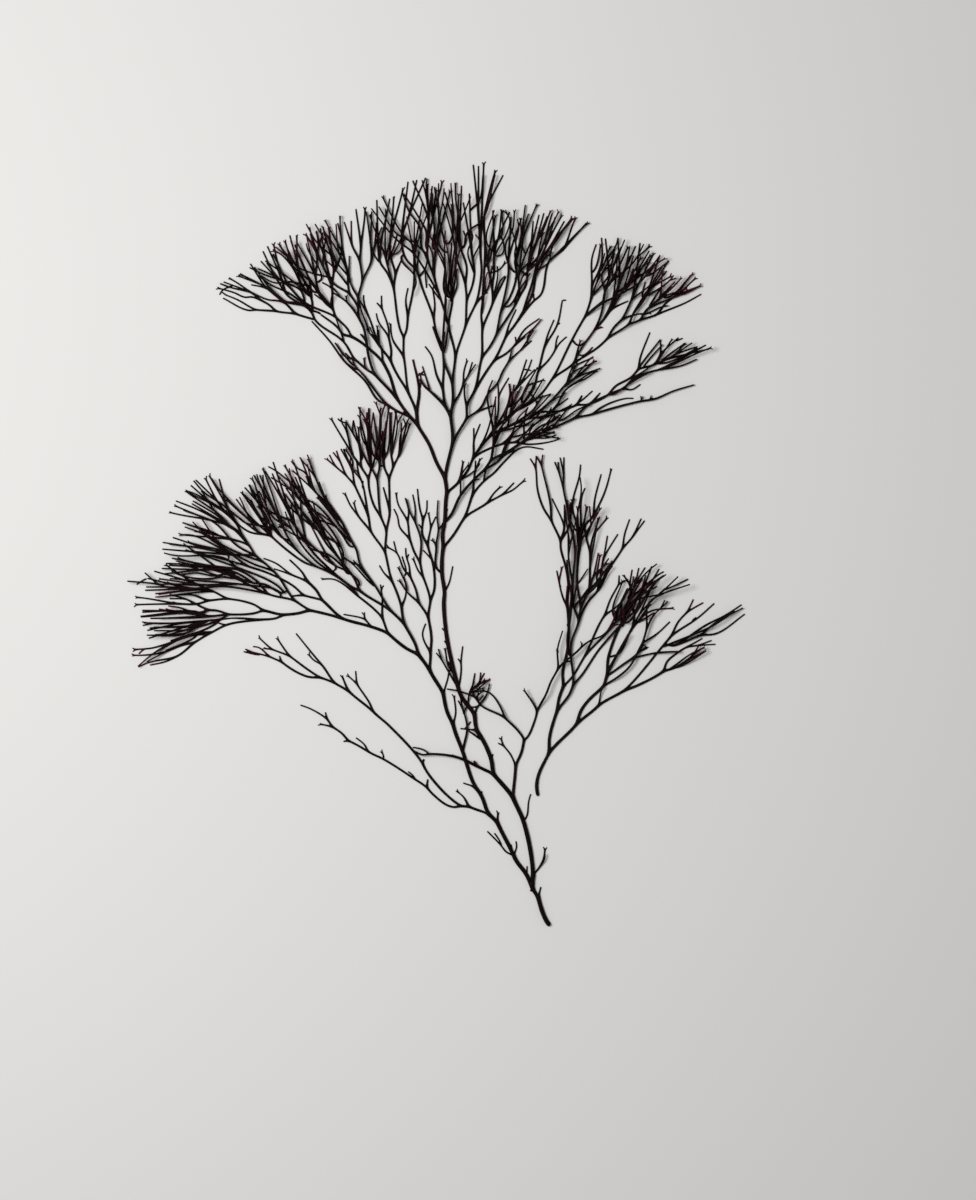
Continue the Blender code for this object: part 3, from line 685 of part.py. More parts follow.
def settled(paths, width, start, lowest, crowd):
    """The strands on the lowest layer where they are clear, apart from round their root, or None."""
    root = Vector(paths[0][0])
    for step in range(lowest, LAYERS):
        strands = laid(paths, width, start, step * PITCH)
        pairs = touching(strands, crowd)
        if all((p.xy - root).length < ROOT_ZONE and (q.xy - root).length < ROOT_ZONE for p, q, _ in pairs):
            return strands
    return None


def turn(ahead, way):
    """Angle from one direction to another in plan, positive to the left."""
    return math.atan2(ahead.x * way.y - ahead.y * way.x, ahead.dot(way))


def steep(root, before, strand):
    """Whether a branch leaves its parent too sharply to grow out of it in one skin."""
    if before is None:
        return False
    return abs(turn((root.spot - before.spot).xy, (strand[1][0] - strand[0][0]).xy)) > STEEP


def grown(fronds, draw, crowd):
    """The fronds as trees of forks, laid over what is in the crowd. The first is the whole plant."""
    roots = {branch[2][0] for frond in fronds for branch in FRONDS[frond]}
    forks = {}
    before = {}
    trees = []
    for frond in fronds:
        for branch in FRONDS[frond]:
            width = branch[0]
            paths = paths_of(branch, roots, draw)
            parent = forks.get(paths[0][0])
            start = parent.spot.z if parent else 0.0
            if parent and parent.width > 1.25 * max(width, FINEST):
                paths[0] = with_neck(paths[0], parent.width)
            strands = settled(paths, width, start, LOWEST.get(frond, 0), crowd)
            if strands is None:
                strands = laid(paths, width, start, LOWEST.get(frond, 0) * PITCH)
            crossed = any(apart for _, _, apart in touching(strands, crowd))
            loose = crossed or not parent or steep(parent, before.get(parent), strands[0])
            join(crowd, strands)
            local = {}
            for path, strand in zip(paths, strands):
                fork = local.get(path[0]) or parent
                if path is paths[0] and loose:
                    spot = strand[0][0]
                    if parent:
                        inward = (spot - strand[1][0]).xy.normalized() * SINK
                        spot = spot + inward.to_3d()
                    fork = Fork(spot, strand[0][1])
                    trees.append(fork)
                local.setdefault(path[0], fork)
                forks.setdefault(path[0], fork)
                for place, (spot, wide) in list(zip(path, strand))[1:]:
                    point = Fork(spot, wide)
                    fork.grows.append(point)
                    before[point] = fork
                    local.setdefault(place, point)
                    forks.setdefault(place, point)
                    fork = point
    return trees


def rooted(path, crowd):
    """The path from the nearest branch on, and the height of its root."""
    x, y = int(path[0][0] // 2), int(path[0][1] // 2)
    near = [s[0] for i in (-1, 0, 1) for j in (-1, 0, 1) for s in crowd.get((x + i, y + j), ())]
    root = min(near, key=lambda p: math.dist(p.xy, path[0]), default=None)
    if root is None or math.dist(root.xy, path[0]) > ROOT_REACH:
        return path, 0.0
    onward = path[1:] if math.dist(root.xy, path[0]) < FINEST else path
    return [tuple(root.xy)] + onward, root.z


def strewn(frond, crowd):
    """The fine strands of a frond, each a tree of its own that starts inside the nearest branch."""
    trees = []
    for width, _, points in FRONDS[frond]:
        path, start = rooted(points, crowd)
        strands = settled([path], width, start, 0, crowd) or laid([path], width, start, 0.0)
        join(crowd, strands)
        forks = [Fork(spot, wide) for spot, wide in strands[0]]
        for fork, point in zip(forks, forks[1:]):
            fork.grows.append(point)
        trees.append(forks[0])
    return trees


def ring(verts, fork, ahead, spread):
    """Corners of the section at a fork: left, right, right of the top and left of the top."""
    half = Vector((ahead.y, -ahead.x, 0)) * fork.width / 2 * spread
    top = Vector((0, 0, fork.width * THICKNESS))
    inset = TOP_WIDTH if fork.width >= STOUT else 0.0
    first = len(verts)
    verts += [fork.spot - half, fork.spot + half, fork.spot + half * inset + top]
    if inset:
        verts.append(fork.spot - half * inset + top)
        return (first, first + 1, first + 2, first + 3)
    return (first, first + 1, first + 2, first + 2)


def wall(faces, *corners):
    """A face, without the corners that are one and the same."""
    kept = list(dict.fromkeys(corners))
    if len(kept) > 2:
        faces.append(kept)


def skin(root):
    """Corners and faces of a tree of forks, in one closed skin."""
    verts = []
    faces = []
    ahead = (root.grows[0].spot - root.spot).xy.normalized()
    mouth = ring(verts, root, ahead, 1.0)
    wall(faces, *mouth)
    open_ends = [(root, mouth, ahead)]
    while open_ends:
        fork, mouth, ahead = open_ends.pop()
        grows = sorted(fork.grows, key=lambda point: -turn(ahead, (point.spot - fork.spot).xy))
        if not grows:
            wall(faces, *mouth)
            continue
        left, right, right_top, left_top = mouth
        edge = [left]
        ridge = [left_top]
        for i in range(1, len(grows)):
            t = i / len(grows)
            forward = ahead.to_3d() * fork.width * 0.5
            edge.append(len(verts))
            verts.append(verts[left].lerp(verts[right], t) + forward)
            if left_top == right_top:
                ridge.append(left_top)
                continue
            ridge.append(len(verts))
            verts.append(verts[left_top].lerp(verts[right_top], t) + forward)
        edge.append(right)
        ridge.append(right_top)
        wall(faces, *edge)
        wall(faces, *ridge)
        for i, point in enumerate(grows):
            inward = (point.spot - fork.spot).xy.normalized()
            onward = sum(((g.spot - point.spot).xy.normalized() for g in point.grows), Vector((0, 0)))
            turned = (inward + onward.normalized()).normalized() if onward.length else inward
            after = ring(verts, point, turned, FORK_SPREAD if len(point.grows) > 1 else 1.0)
            start = (edge[i], edge[i + 1], ridge[i + 1], ridge[i])
            for k in range(4):
                n = (k + 1) % 4
                wall(faces, start[k], start[n], after[n], after[k])
            open_ends.append((point, after, turned))
    return verts, faces


def solid(name, root):
    """A tree of forks as a closed object."""
    verts, faces = skin(root)
    mesh = bpy.data.meshes.new(name)
    mesh.from_pydata([v * MM for v in verts], [], faces)
    work = bmesh.new()
    work.from_mesh(mesh)
    bmesh.ops.recalc_face_normals(work, faces=work.faces)
    bmesh.ops.triangulate(work, faces=work.faces)
    work.to_mesh(mesh)
    work.free()
    return bpy.data.objects.new(name, mesh)


def fused(name, trees):
    """The first tree with the others grown together with it."""
    whole = solid(name, trees[0])
    bpy.context.scene.collection.objects.link(whole)
    if len(trees) == 1:
        return whole
    branches = bpy.data.collections.new(name + " branches")
    bpy.context.scene.collection.children.link(branches)
    others = [solid("branch", tree) for tree in trees[1:]]
    for other in others:
        branches.objects.link(other)
    union = whole.modifiers.new("grow together", "BOOLEAN")
    union.operation = "UNION"
    union.operand_type = "COLLECTION"
    union.collection = branches
    union.solver = "MANIFOLD"
    graph = bpy.context.evaluated_depsgraph_get()
    mesh = bpy.data.meshes.new_from_object(whole.evaluated_get(graph))
    whole.modifiers.clear()
    whole.data = mesh
    for other in others:
        bpy.data.objects.remove(other)
    bpy.data.collections.remove(branches)
    return whole


def centre(parts):
    """Move the parts together, so that the origin is under the middle of them."""
    corners = [v.co for part in parts for v in part.data.vertices]
    low = [min(c[i] for c in corners) for i in range(3)]
    high = [max(c[i] for c in corners) for i in range(3)]
    shift = Vector((-(low[0] + high[0]) / 2, -(low[1] + high[1]) / 2, -low[2]))
    for part in parts:
        part.data.transform(Matrix.Translation(shift))
    return shift


for item in list(bpy.data.objects):
    bpy.data.objects.remove(item)

draw = random.Random(SEED)
crowd = {}
plant = grown([frond for frond in FRONDS if not frond.startswith(("side", "strands"))], draw, crowd)
thallus = fused("thallus", plant + strewn("strands", crowd))
crowd = {}
broken_off = grown(["side_branch"], draw, crowd)
side_branch = fused("side_branch", broken_off + strewn("side_strands", crowd))
PLAN_SHIFT = tuple(-v / MM for v in centre([thallus, side_branch]))
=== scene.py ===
"""The pressed seaweed dressed for its picture: finer, rounder branches on the plan of the solids.

The plan lies in the surface under the plant: the origin is the cut end of the trunk, x runs to the
right and y up to the crown. Each branch gives its width, its number of tips and its route, which is
a first point and the steps on from it. Widths, points and steps are in tenths of a millimetre. Where
a branch has more tips than one, its last two points are the outer ones; where it has one, the number
is left out. The layout repeats the part's own, so that each branch lies where its solid is.
"""
import math
import random

import bpy
from mathutils import Matrix, Vector, noise


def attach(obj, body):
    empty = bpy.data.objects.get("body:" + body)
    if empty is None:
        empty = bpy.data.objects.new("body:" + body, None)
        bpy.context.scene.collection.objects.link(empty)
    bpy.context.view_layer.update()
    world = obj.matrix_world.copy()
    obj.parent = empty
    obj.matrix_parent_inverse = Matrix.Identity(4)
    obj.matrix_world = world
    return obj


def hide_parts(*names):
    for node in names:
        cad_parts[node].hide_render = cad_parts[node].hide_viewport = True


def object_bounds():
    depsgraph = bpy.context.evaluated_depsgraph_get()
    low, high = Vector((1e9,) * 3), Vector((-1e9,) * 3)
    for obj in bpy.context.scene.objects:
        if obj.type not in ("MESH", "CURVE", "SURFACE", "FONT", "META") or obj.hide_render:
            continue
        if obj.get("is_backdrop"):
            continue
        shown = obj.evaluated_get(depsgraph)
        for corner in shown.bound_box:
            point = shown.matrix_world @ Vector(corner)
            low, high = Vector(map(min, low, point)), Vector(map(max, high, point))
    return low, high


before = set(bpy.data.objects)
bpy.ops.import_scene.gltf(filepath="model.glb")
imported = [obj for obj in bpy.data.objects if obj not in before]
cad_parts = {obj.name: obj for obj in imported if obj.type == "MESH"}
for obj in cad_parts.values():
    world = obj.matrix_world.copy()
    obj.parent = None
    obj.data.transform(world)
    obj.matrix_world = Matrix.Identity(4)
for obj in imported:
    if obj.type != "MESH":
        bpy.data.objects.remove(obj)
cad_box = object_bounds()

# A millimetre in metres, the start of the draws, and the plan's origin in the frame.
MM = 0.001
SEED = 7
TRUNK_END = Vector((43.563, -145.779, 0.0))

# Layout of the branches, as in the solids, in millimetres and shares.
TENTHS = 10
FINEST = 0.75
THICKNESS = 0.85
TAPER = 0.15
NECK = 1.6
NECK_SHARE = 0.5
NECK_RATIO = 1.25
CLIMB = 8.0
PITCH = 0.85
LAYERS = 6
GAP = 0.12
CELL = 2
ROOT_ZONE = 6.0
STEEP = math.radians(60)
SINK = 0.3
ROOT_REACH = 3.0
ROOT_BACK = 1.2
LOWEST = {"over_branch": 3}
ARC_RISE = 0.12
TIP_SCATTER = 1.2
TIP_SET_BACK = 8.0
SET_BACK_SHARE = 0.35
RUN_SPREAD = (0.85, 1.15)
LAST_RUN = 1.6
TIPS_KEPT = 0.6
TIP_SPACING = 1.7

PLAN = {
"stems": """
16 0,0 -15,20 -31,90 -22,35; 15 -68,145 3,50 -37,205 -41,93 -75,90 -7,52 -57,115 -8,60 -25,35 -25,33 -12,32
-13,50 -25,110 -9,55 -9,115 3,40 -10,70 5,100 -3,50 8,45 9,115 -7,55; 14 -68,145 -22,50 -50,75 -63,127
-34,33 -27,70 -24,33 -47,134 -37,103 -23,50 -15,70 -52,90 -43,60; 11 -68,145 -7,-13; 9 -46,110 11,40; 7
-65,195 21,25 18,35 6,35; 6 -44,220 25,40 -1,20; 7 -90,195 2,35; 7 -140,270 12,30 -3,25; 7 -140,270 -9,35;
7 -140,270 -28,12 -18,24 -55,57; 6 -186,306 -6,18 -22,32; 10 -203,397 3,33; 8 -264,500 3,17; 7 -288,533
-46,15; 6 -102,400 13,20 7,60 8,26; 11 -143,493 11,122 22,50 10,48; 6 -132,615 -18,40 -28,35 -22,11; 5
-178,690 -9,24; 8 -100,713 -20,32 -55,55 -95,50 -16,26 -69,26 -42,7; 7 -175,800 -8,25 -52,71 -30,5 -40,-8;
8 -100,713 12,9 23,48 15,53; 11 -218,583 -75,36 -37,19 -45,14 -88,8 -30,-4 -32,18; 7 -293,619 3,16; 7
-463,660 -22,16 -42,9; 8 -225,635 6,25; 7 -282,750 -63,7; 9 -290,810 10,30 20,20 20,35 8,35; 9 -335,667
17,96 -17,67 -18,35; 8 -372,770 10,45 -6,62; 5 -410,890 18,60 4,25; 8 -352,910 8,40 2,60 7,63; 5 -342,1010
-12,15; 8 -352,910 -63,110 -22,28; 5 -415,1020 -14,43; 8 -365,960 -25,35 -12,62; 8 -399,1125 -16,17; 6
-390,1070 -16,24; 6 5 -286,876 -14,29 12,65 53,-27; 6 3 -315,845 3,45 22,50 40,-25; 7 -405,1280 16,30 16,70
""",
"over_branch": """
8 -50,823 35,67 17,45 28,51 25,27 65,57 40,28 35,12 48,42 22,5; 5 -50,823 -47,77; 8 30,986 -2,74 20,73; 6
55,1013 31,3; 5 120,1070 1,10
""",
"lower_left": """
9 -237,430 -73,27 -33,3 -107,100 -40,65 -130,145 -60,53 -93,77 -54,32 -56,21 -42,1 -105,58 -45,20 -90,23; 8
-343,460 -27,-5 -30,10 -30,22 -42,43 -46,32 -122,78 -60,30 -73,40 -27,30 -33,22 -22,31 -65,40 -38,14; 6
-310,457 -22,38 -21,18; 5 -472,530 3,33; 6 -518,562 -5,12 -22,18; 5 -640,640 2,12 -6,12; 6 -700,670 -10,23
-35,29; 6 -773,710 -20,-3; 9 -833,762 -44,11; 5 -855,793 -7,27; 5 -490,625 7,15; 7 -680,823 -10,27 -50,76
-33,31; 5 -740,926 -6,52; 7 -773,900 -23,53; 7 -827,932 -53,74 -95,116; 6 -880,1006 -23,10 -20,21; 6
-883,953 -115,81 -67,26 -28,4; 7 -998,1034 -45,63; 5 -1065,1060 -48,42; 5 -1030,1012 -8,24; 6 -1075,1032
-45,38 -20,1
""",
"left_fan": """
11 -505,1040 -45,23 -73,60 -62,24 -115,33 -120,30 -50,-12 -55,-5 -75,17; 7 -685,1147 -25,29 -83,19; 5
-710,1176 -3,16; 8 -623,1123 -20,57 -27,30 -65,53 -95,67 -38,0; 7 -643,1180 -1,80 -7,50; 10 -800,1180
-75,70 -20,35 -35,35 -20,35 -50,50; 7 -875,1250 -70,18 -35,32 -50,30 -70,30; 6 -945,1268 -45,-3; 7
-930,1320 -65,28 -55,42 -50,20; 6 -995,1348 -65,22; 8 -920,1210 -60,38 -80,112 -40,35 -30,25 -25,40 -30,45
-15,35 -40,70; 7 -980,1248 -100,24; 6 2 -1240,1610 -65,113 35,-8; 6 6 -1200,1540 -40,40 -153,85 73,47; 6 5
-1185,1505 -45,30 -225,50 80,35; 6 5 -1155,1460 -55,20 -203,20 3,47; 6 5 -1130,1420 -90,3 -268,22 40,45; 6
4 -1080,1272 -160,78 -195,50 35,60; 6 4 -1100,1360 -60,20 -190,50 40,70; 8 -1025,1193 -25,-13 -50,-5 -120,5
-40,-5; 8 -1100,1175 -140,-20 -70,-35 -53,-32 -47,-11 -70,-27 -80,-12 -35,0; 7 -1363,1088 -57,-48 -20,-10
-100,-20 -40,-17; 5 -1440,1030 -30,-15 -65,-15; 7 -1310,1120 -60,-5 -80,-27 -80,-23 -60,-5; 5 -1450,1088
-70,-43 -60,-50; 7 -1100,1210 -30,20 -60,18 -48,7 -59,30; 6 6 -1297,1285 -253,15 80,82; 6 -1238,1255 -72,-7
-60,22; 6 3 -1310,1248 -40,-13 -70,0 -165,-3 2,28; 7 -1100,1210 -30,-10 -105,-5 -35,13 -40,4 -90,43 -50,13;
6 4 -1310,1212 -30,-10 -50,5 -182,-20 7,23; 6 5 -1235,1195 -25,-17 -60,-8 -220,-67 -20,59; 5 2 -1297,1285
-153,10 -50,15 -120,12 67,33
""",
"left_fan_over": """
6 5 -1100,1395 -70,25 -100,50 -130,60 60,40; 6 6 -1080,1272 -80,18 -100,13 -240,-33 10,60; 6 6 -1080,1272
-45,51 -85,47 -270,-20 30,60; 6 4 -1060,1360 -70,25 -90,45 -160,40 40,40; 6 4 -1155,1460 -45,50 -70,60
-100,60 40,30; 6 4 -1235,1195 -65,-7 -200,27 0,-35; 6 4 -1260,1175 -80,-25 -170,-5 20,-35
""",
"left_fan_upper": """
10 -505,1040 -10,35 -45,83 -53,52 -117,75; 7 -613,1210 -62,100 -58,88 -7,37 -30,55 -30,60 -40,60 -30,40
-30,70 -25,65; 5 -675,1310 -80,93; 7 -730,1285 -20,45 -60,80 -50,80 -50,80; 7 -730,1285 -30,15 -60,45
-110,115; 7 -735,1263 -25,32 -85,60 -55,25 -70,60 -40,60; 7 -900,1380 -35,10 -40,25 -95,80; 6 3 -900,1720
-60,77 30,10; 6 5 -910,1570 -105,190 32,17; 6 5 -930,1460 -50,80 -113,205 30,35; 6 5 -1010,1500 -127,230
37,20; 6 6 -1070,1495 -115,168 50,40; 6 4 -1070,1495 -50,15 -155,120 85,15
""",
"left_upper_over": """
6 6 -860,1490 -50,90 -60,70 -100,70 70,35; 6 6 -970,1440 -60,55 -50,85 -75,110 55,40; 6 5 -930,1460 -20,80
-70,120 60,30; 6 4 -800,1550 -40,40 -80,100 35,13; 6 4 -840,1610 -60,55 -80,75 50,30; 6 5 -810,1410 -50,60
-100,130 50,30; 6 5 -820,1345 -70,48 -70,82 -80,95 50,40; 6 4 -770,1490 -40,50 -80,100 30,5
""",
"middle_fan": """
9 -560,1158 -10,65 -38,102 -25,108; 7 -570,1223 15,37 3,35 -8,45; 6 -608,1325 -27,25 -20,33; 8 -633,1433
5,82 -22,55 -25,40 -20,70 -2,35 -28,45; 6 4 -725,1760 -35,50 -77,130 52,-10; 6 2 -725,1760 -2,50 -28,130
20,-33; 6 4 -697,1715 10,40 -43,195 35,37; 7 -650,1570 -13,143 -20,40 -10,67; 6 4 -663,1713 10,52 -47,170
50,45; 8 -628,1515 13,70 -3,130 16,45; 5 -615,1585 -25,98; 6 3 -618,1715 -20,48 -4,137 22,80; 6 2 -602,1760
-8,50 0,150 18,5; 6 4 -602,1760 24,50 8,120 30,-10; 8 -633,1433 -55,80 -50,62 -27,35 -20,43; 5 -738,1575
-14,45; 8 -688,1513 -9,57 -53,120 -33,38; 6 2 -783,1728 -40,34 -30,25 6,20; 6 2 -783,1728 -22,52 -28,37
13,6; 6 2 -750,1690 -10,60 -43,80 10,0; 7 -697,1570 -25,135 -15,35
""",
"inner_fan": """
9 -462,980 3,70 4,50 -13,85 9,63 14,37 -2,90 -23,85 -20,38 2,57 -12,45 -9,77; 6 -459,1050 -19,30 -12,40
13,40; 8 -468,1185 -35,53 -46,42 -26,40; 7 -503,1238 -12,52 -22,50 -23,25 -30,68 -30,17; 6 -537,1340 -3,40
-12,35 -2,35; 8 -459,1248 -29,92 -11,53 -21,37 -18,52 -40,48 -7,40 -15,30; 6 -488,1340 -17,20 -18,43; 7
-538,1482 -8,68 -39,72 -5,33; 7 -546,1550 4,40 -14,52; 7 -499,1393 4,87 -23,70 -17,30 -15,58; 7 -518,1550
1,50 -10,55; 7 -488,1555 14,35 2,43; 7 -470,1460 12,65 -8,55; 7 -458,1525 20,45; 8 -415,1350 -21,20 -1,90
9,60 -5,40 3,73; 6 -437,1460 -13,17; 6 -428,1520 13,15; 8 -436,1370 -19,35 -33,37
""",
"crown_left": """
12 -403,1715 -32,60 -28,70 -45,75 -4,50 10,80 -24,123; 6 -502,2050 7,35 -3,35; 9 -512,1970 -32,75 -46,75
-22,48 -43,57 -50,65; 8 -612,2168 3,32 -11,60 -40,60 -7,30; 6 -620,2260 2,18 -27,89 -20,23; 5 -645,2367
-2,51; 8 -544,2045 -18,138 -43,67 -7,53; 7 -562,2183 0,74 -13,28 -25,160 -25,60 -30,45; 6 -600,2445 7,55
-17,60; 5 -593,2500 23,55; 7 -562,2257 10,23 6,55 -8,65 9,47; 6 -546,2335 19,95 5,40; 11 -508,1920 -32,35
-48,68 -27,87 -27,53 -93,82 -27,15 -36,10 -12,20 -70,55; 6 -762,2260 -13,27 -48,48; 6 -642,2163 -5,52
-13,35 -2,45; 10 -588,2023 -85,92 -25,80 -7,50 -7,42 -23,48 -45,57 -53,36; 8 -673,2115 -27,15 -50,43 -40,65
-113,87; 6 -790,2238 -20,62 -13,35; 6 -750,2173 -32,7 -44,57; 9 -540,1955 -40,15 -48,30 -92,117 -27,28
-11,25; 7 -628,2000 -32,15 -48,73 -85,82 -50,70 -72,80; 5 -700,2130 -10,13 -3,29; 5 -705,2245 -23,25; 7
-655,2225 -38,105 -22,65 -1,25; 5 -693,2330 -37,70
""",
"crown_left_tips": """
7 -823,2335 -10,30 -4,85 7,70; 6 6 -837,2450 -98,198 53,29; 6 3 -830,2520 -40,155 22,-5; 6 -833,2365 -27,20
-20,30 -13,35 -7,40; 6 -823,2335 -117,55; 8 -735,2335 0,35 -1,40 16,63 -10,77; 6 3 -730,2550 -30,60 -30,90
27,5; 6 3 -730,2550 4,50 -19,150 35,-3; 7 6 -720,2473 35,77 -20,190 60,-60; 7 -735,2370 -35,55 -10,95
-12,50; 6 4 -792,2570 -68,130 55,15; 6 -770,2425 -60,37; 6 -736,2410 -19,30 -13,35 -2,95; 8 -903,2325
-72,22 -75,10 -80,6 -25,-3 -100,48; 6 -1130,2363 -70,39 -45,18; 6 -1050,2357 -25,23 -35,20 -35,13 -25,-3
-40,18 -60,17; 6 2 -1110,2400 -33,27 -110,43 26,12; 7 -975,2347 -45,43 -20,7 -40,3 -68,30; 6 4 -1020,2390
-70,58 -93,49 33,43; 7 -903,2325 -10,25 -27,27 -75,16; 6 6 -940,2377 -70,43 -100,130 50,60; 6 7 -913,2350
-2,55 -45,65 -77,140 65,32; 6 4 -900,2490 -70,130 38,20
""",
"crown_left_over": """
6 6 -880,2415 -40,55 -40,40 -70,90 60,25; 6 5 -940,2390 -60,60 -120,70 60,50; 6 5 -900,2490 7,70 -27,95
50,5; 6 4 -830,2462 -40,68 -50,100 60,10; 6 4 -780,2520 -30,60 -60,90 50,20; 6 4 -1015,2393 -55,47 -120,50
60,30
""",
"crown_middle": """
12 -403,1715 30,140 -9,100 -21,38 -57,57 -20,17 -15,23; 5 -460,2050 -30,97; 9 -403,1993 -9,67 -23,50 -20,78
-25,35; 8 -412,2060 4,80 -5,80 -22,50 -12,60 -48,130 -15,50 -45,50; 5 -447,2330 5,50 -8,60; 5 -413,2220
8,60; 10 -382,1955 9,45 -2,80 -30,80 -10,60; 9 -375,2080 12,105 -27,120 -55,185 -25,70; 5 -390,2305 15,95;
8 -363,2185 38,115 5,100 -5,60 5,67; 6 -320,2400 20,50 10,60; 8 -325,2300 42,90 13,60 7,70; 5 -283,2390
33,35; 8 -373,2000 23,35 17,45 1,40 12,43; 6 -333,2080 18,30 17,53; 10 -373,1855 53,90 0,48 -8,37 0,40; 9
-320,1993 32,62 26,125 2,110 -5,60 5,50; 7 -260,2290 40,100 -3,60 8,55; 6 -220,2390 50,100; 8 -262,2180
27,35 28,50 19,93 28,142; 6 -188,2358 33,52 25,75; 7 -207,2265 87,145 30,55; 9 -288,2055 75,115 43,90 35,45
30,50 35,62; 6 -170,2260 10,40 30,65; 7 -213,2170 38,20 38,35 42,35; 6 -137,2225 37,60 60,45; 6 -135,2305
75,95 23,18; 6 -320,1945 40,27 55,21; 8 -280,1972 20,23 20,43 40,45 15,37 27,45 13,55; 6 -158,2165 88,80
""",
"crown_top": """
6 4 -655,2550 -10,235 50,5; 6 2 -610,2560 -5,60 15,170 35,33; 6 5 -555,2560 -15,80 25,215 68,15; 6 6
-470,2560 0,60 0,220 55,10; 6 4 -320,2527 -25,78 -59,210 64,25; 6 3 -290,2510 -10,65 -33,200 23,35; 6 5
-263,2520 -4,50 -28,350 40,0; 6 2 -260,2400 10,180 0,160 38,150 32,-10; 6 5 -215,2505 0,75 -5,165 65,-7; 6
4 -160,2500 0,60 10,160 40,-5; 6 5 -130,2485 0,70 35,210 42,-5; 6 6 -90,2465 3,55 22,185 55,18; 6 6
-70,2417 25,123 65,180 60,-10; 6 3 -37,2418 34,132 53,43 45,117 45,-13
""",
"crown_top_over": """
6 4 -445,2490 5,90 -15,220 70,10; 6 4 -495,2460 -25,100 -30,160 60,50; 6 5 -325,2460 -35,110 -50,200 60,30;
6 4 -522,2470 2,100 0,130 50,30; 6 4 -600,2445 -30,115 -60,160 60,30; 6 4 -375,2400 -5,90 -20,140 40,10; 6
4 -223,2450 -17,90 -20,160 50,20; 6 4 -120,2410 0,90 20,180 50,0; 6 4 -105,2355 35,105 40,190 50,-10
""",
"right_thicket": """
9 -396,1660 46,43 35,45 20,47 55,75 25,35 50,85 12,45 -3,45; 6 -350,1703 15,70; 6 2 -295,1795 2,65 0,50
25,16; 10 -405,1545 25,30 36,75 56,65 38,35 23,35 10,105 -21,110 -2,37 20,56; 6 -344,1650 5,80 24,35; 6
-250,1750 50,30 25,25 40,20; 9 -410,1450 40,50 42,67 30,86 10,87 18,47; 8 -298,1653 43,52 40,32 37,41 70,57
83,-7; 6 -255,1705 20,68 90,52; 8 -328,1567 88,56 55,30 40,17 42,35; 6 -240,1623 20,32 25,25; 6 -185,1653
47,47; 8 -295,1795 110,53 50,7 45,-8 105,13 25,10; 8 -240,1870 35,25 55,25 60,23 50,27 65,2 40,10 35,16
50,2 70,35 30,35 60,33 28,32 5,35 40,107; 9 -227,1785 67,35 60,40 195,88 70,15 183,49 52,8 70,30 83,25; 7
165,1963 25,22 100,38 30,0; 8 95,1948 40,42 80,43 65,27 35,35 70,30 115,22 63,26; 6 8 338,2135 62,18 23,97
187,-37; 5 280,2060 30,-5 37,22; 5 100,1998 23,37; 5 150,2000 43,45; 8 -215,1905 75,65 65,35 45,40 40,55
75,150 48,85; 6 85,2250 20,-25 65,60; 8 10,2100 80,57 95,63 35,33; 5 90,2157 25,83; 6 5 -90,1943 80,57
73,80 42,80 88,-22; 8 -140,1970 45,45 35,55 15,60 23,90 12,45 25,60; 7 -22,2220 49,85 20,95; 7 -45,2130
35,35 30,45 16,25 28,25; 5 20,2210 4,40 8,15; 6 6 -100,1860 60,40 60,70 10,-60; 6 5 -135,1855 45,30 80,25
35,-40; 6 4 -140,1970 60,40 50,80 35,-50; 6 2 -153,2035 23,25 40,113 32,-38; 6 3 -150,1920 100,80 -33,50
53,-20
""",
"right_fan": """
7 133,2335 24,70 3,50 0,105 17,55; 6 160,2455 30,65 10,50 -3,70; 5 133,2335 72,65; 7 170,2285 25,60 15,93
-12,32 2,40; 6 3 210,2438 15,42 -13,157 38,-27; 7 170,2285 35,40 30,40 30,95; 5 235,2365 65,32; 6 4
265,2460 -5,180 68,-32; 7 220,2253 20,37 35,35 40,85; 6 3 315,2410 30,210 50,-45; 6 275,2325 45,18 60,7; 7
220,2253 80,52 20,45 40,50; 6 4 360,2400 60,170 30,-25; 6 300,2305 45,18 20,35 55,52; 6 4 420,2410 10,90
50,-30; 6 345,2323 65,22 30,40 40,30; 5 3 480,2415 60,82 35,-42; 6 410,2345 110,45 60,33
""",
"right_fan_over": """
6 4 205,2325 35,75 20,180 40,-20; 6 5 235,2365 45,75 40,130 50,-30; 6 5 320,2350 50,80 60,100 30,-40; 6 4
365,2358 65,52 70,70 20,-40; 6 3 157,2405 23,65 30,110 30,-10
""",
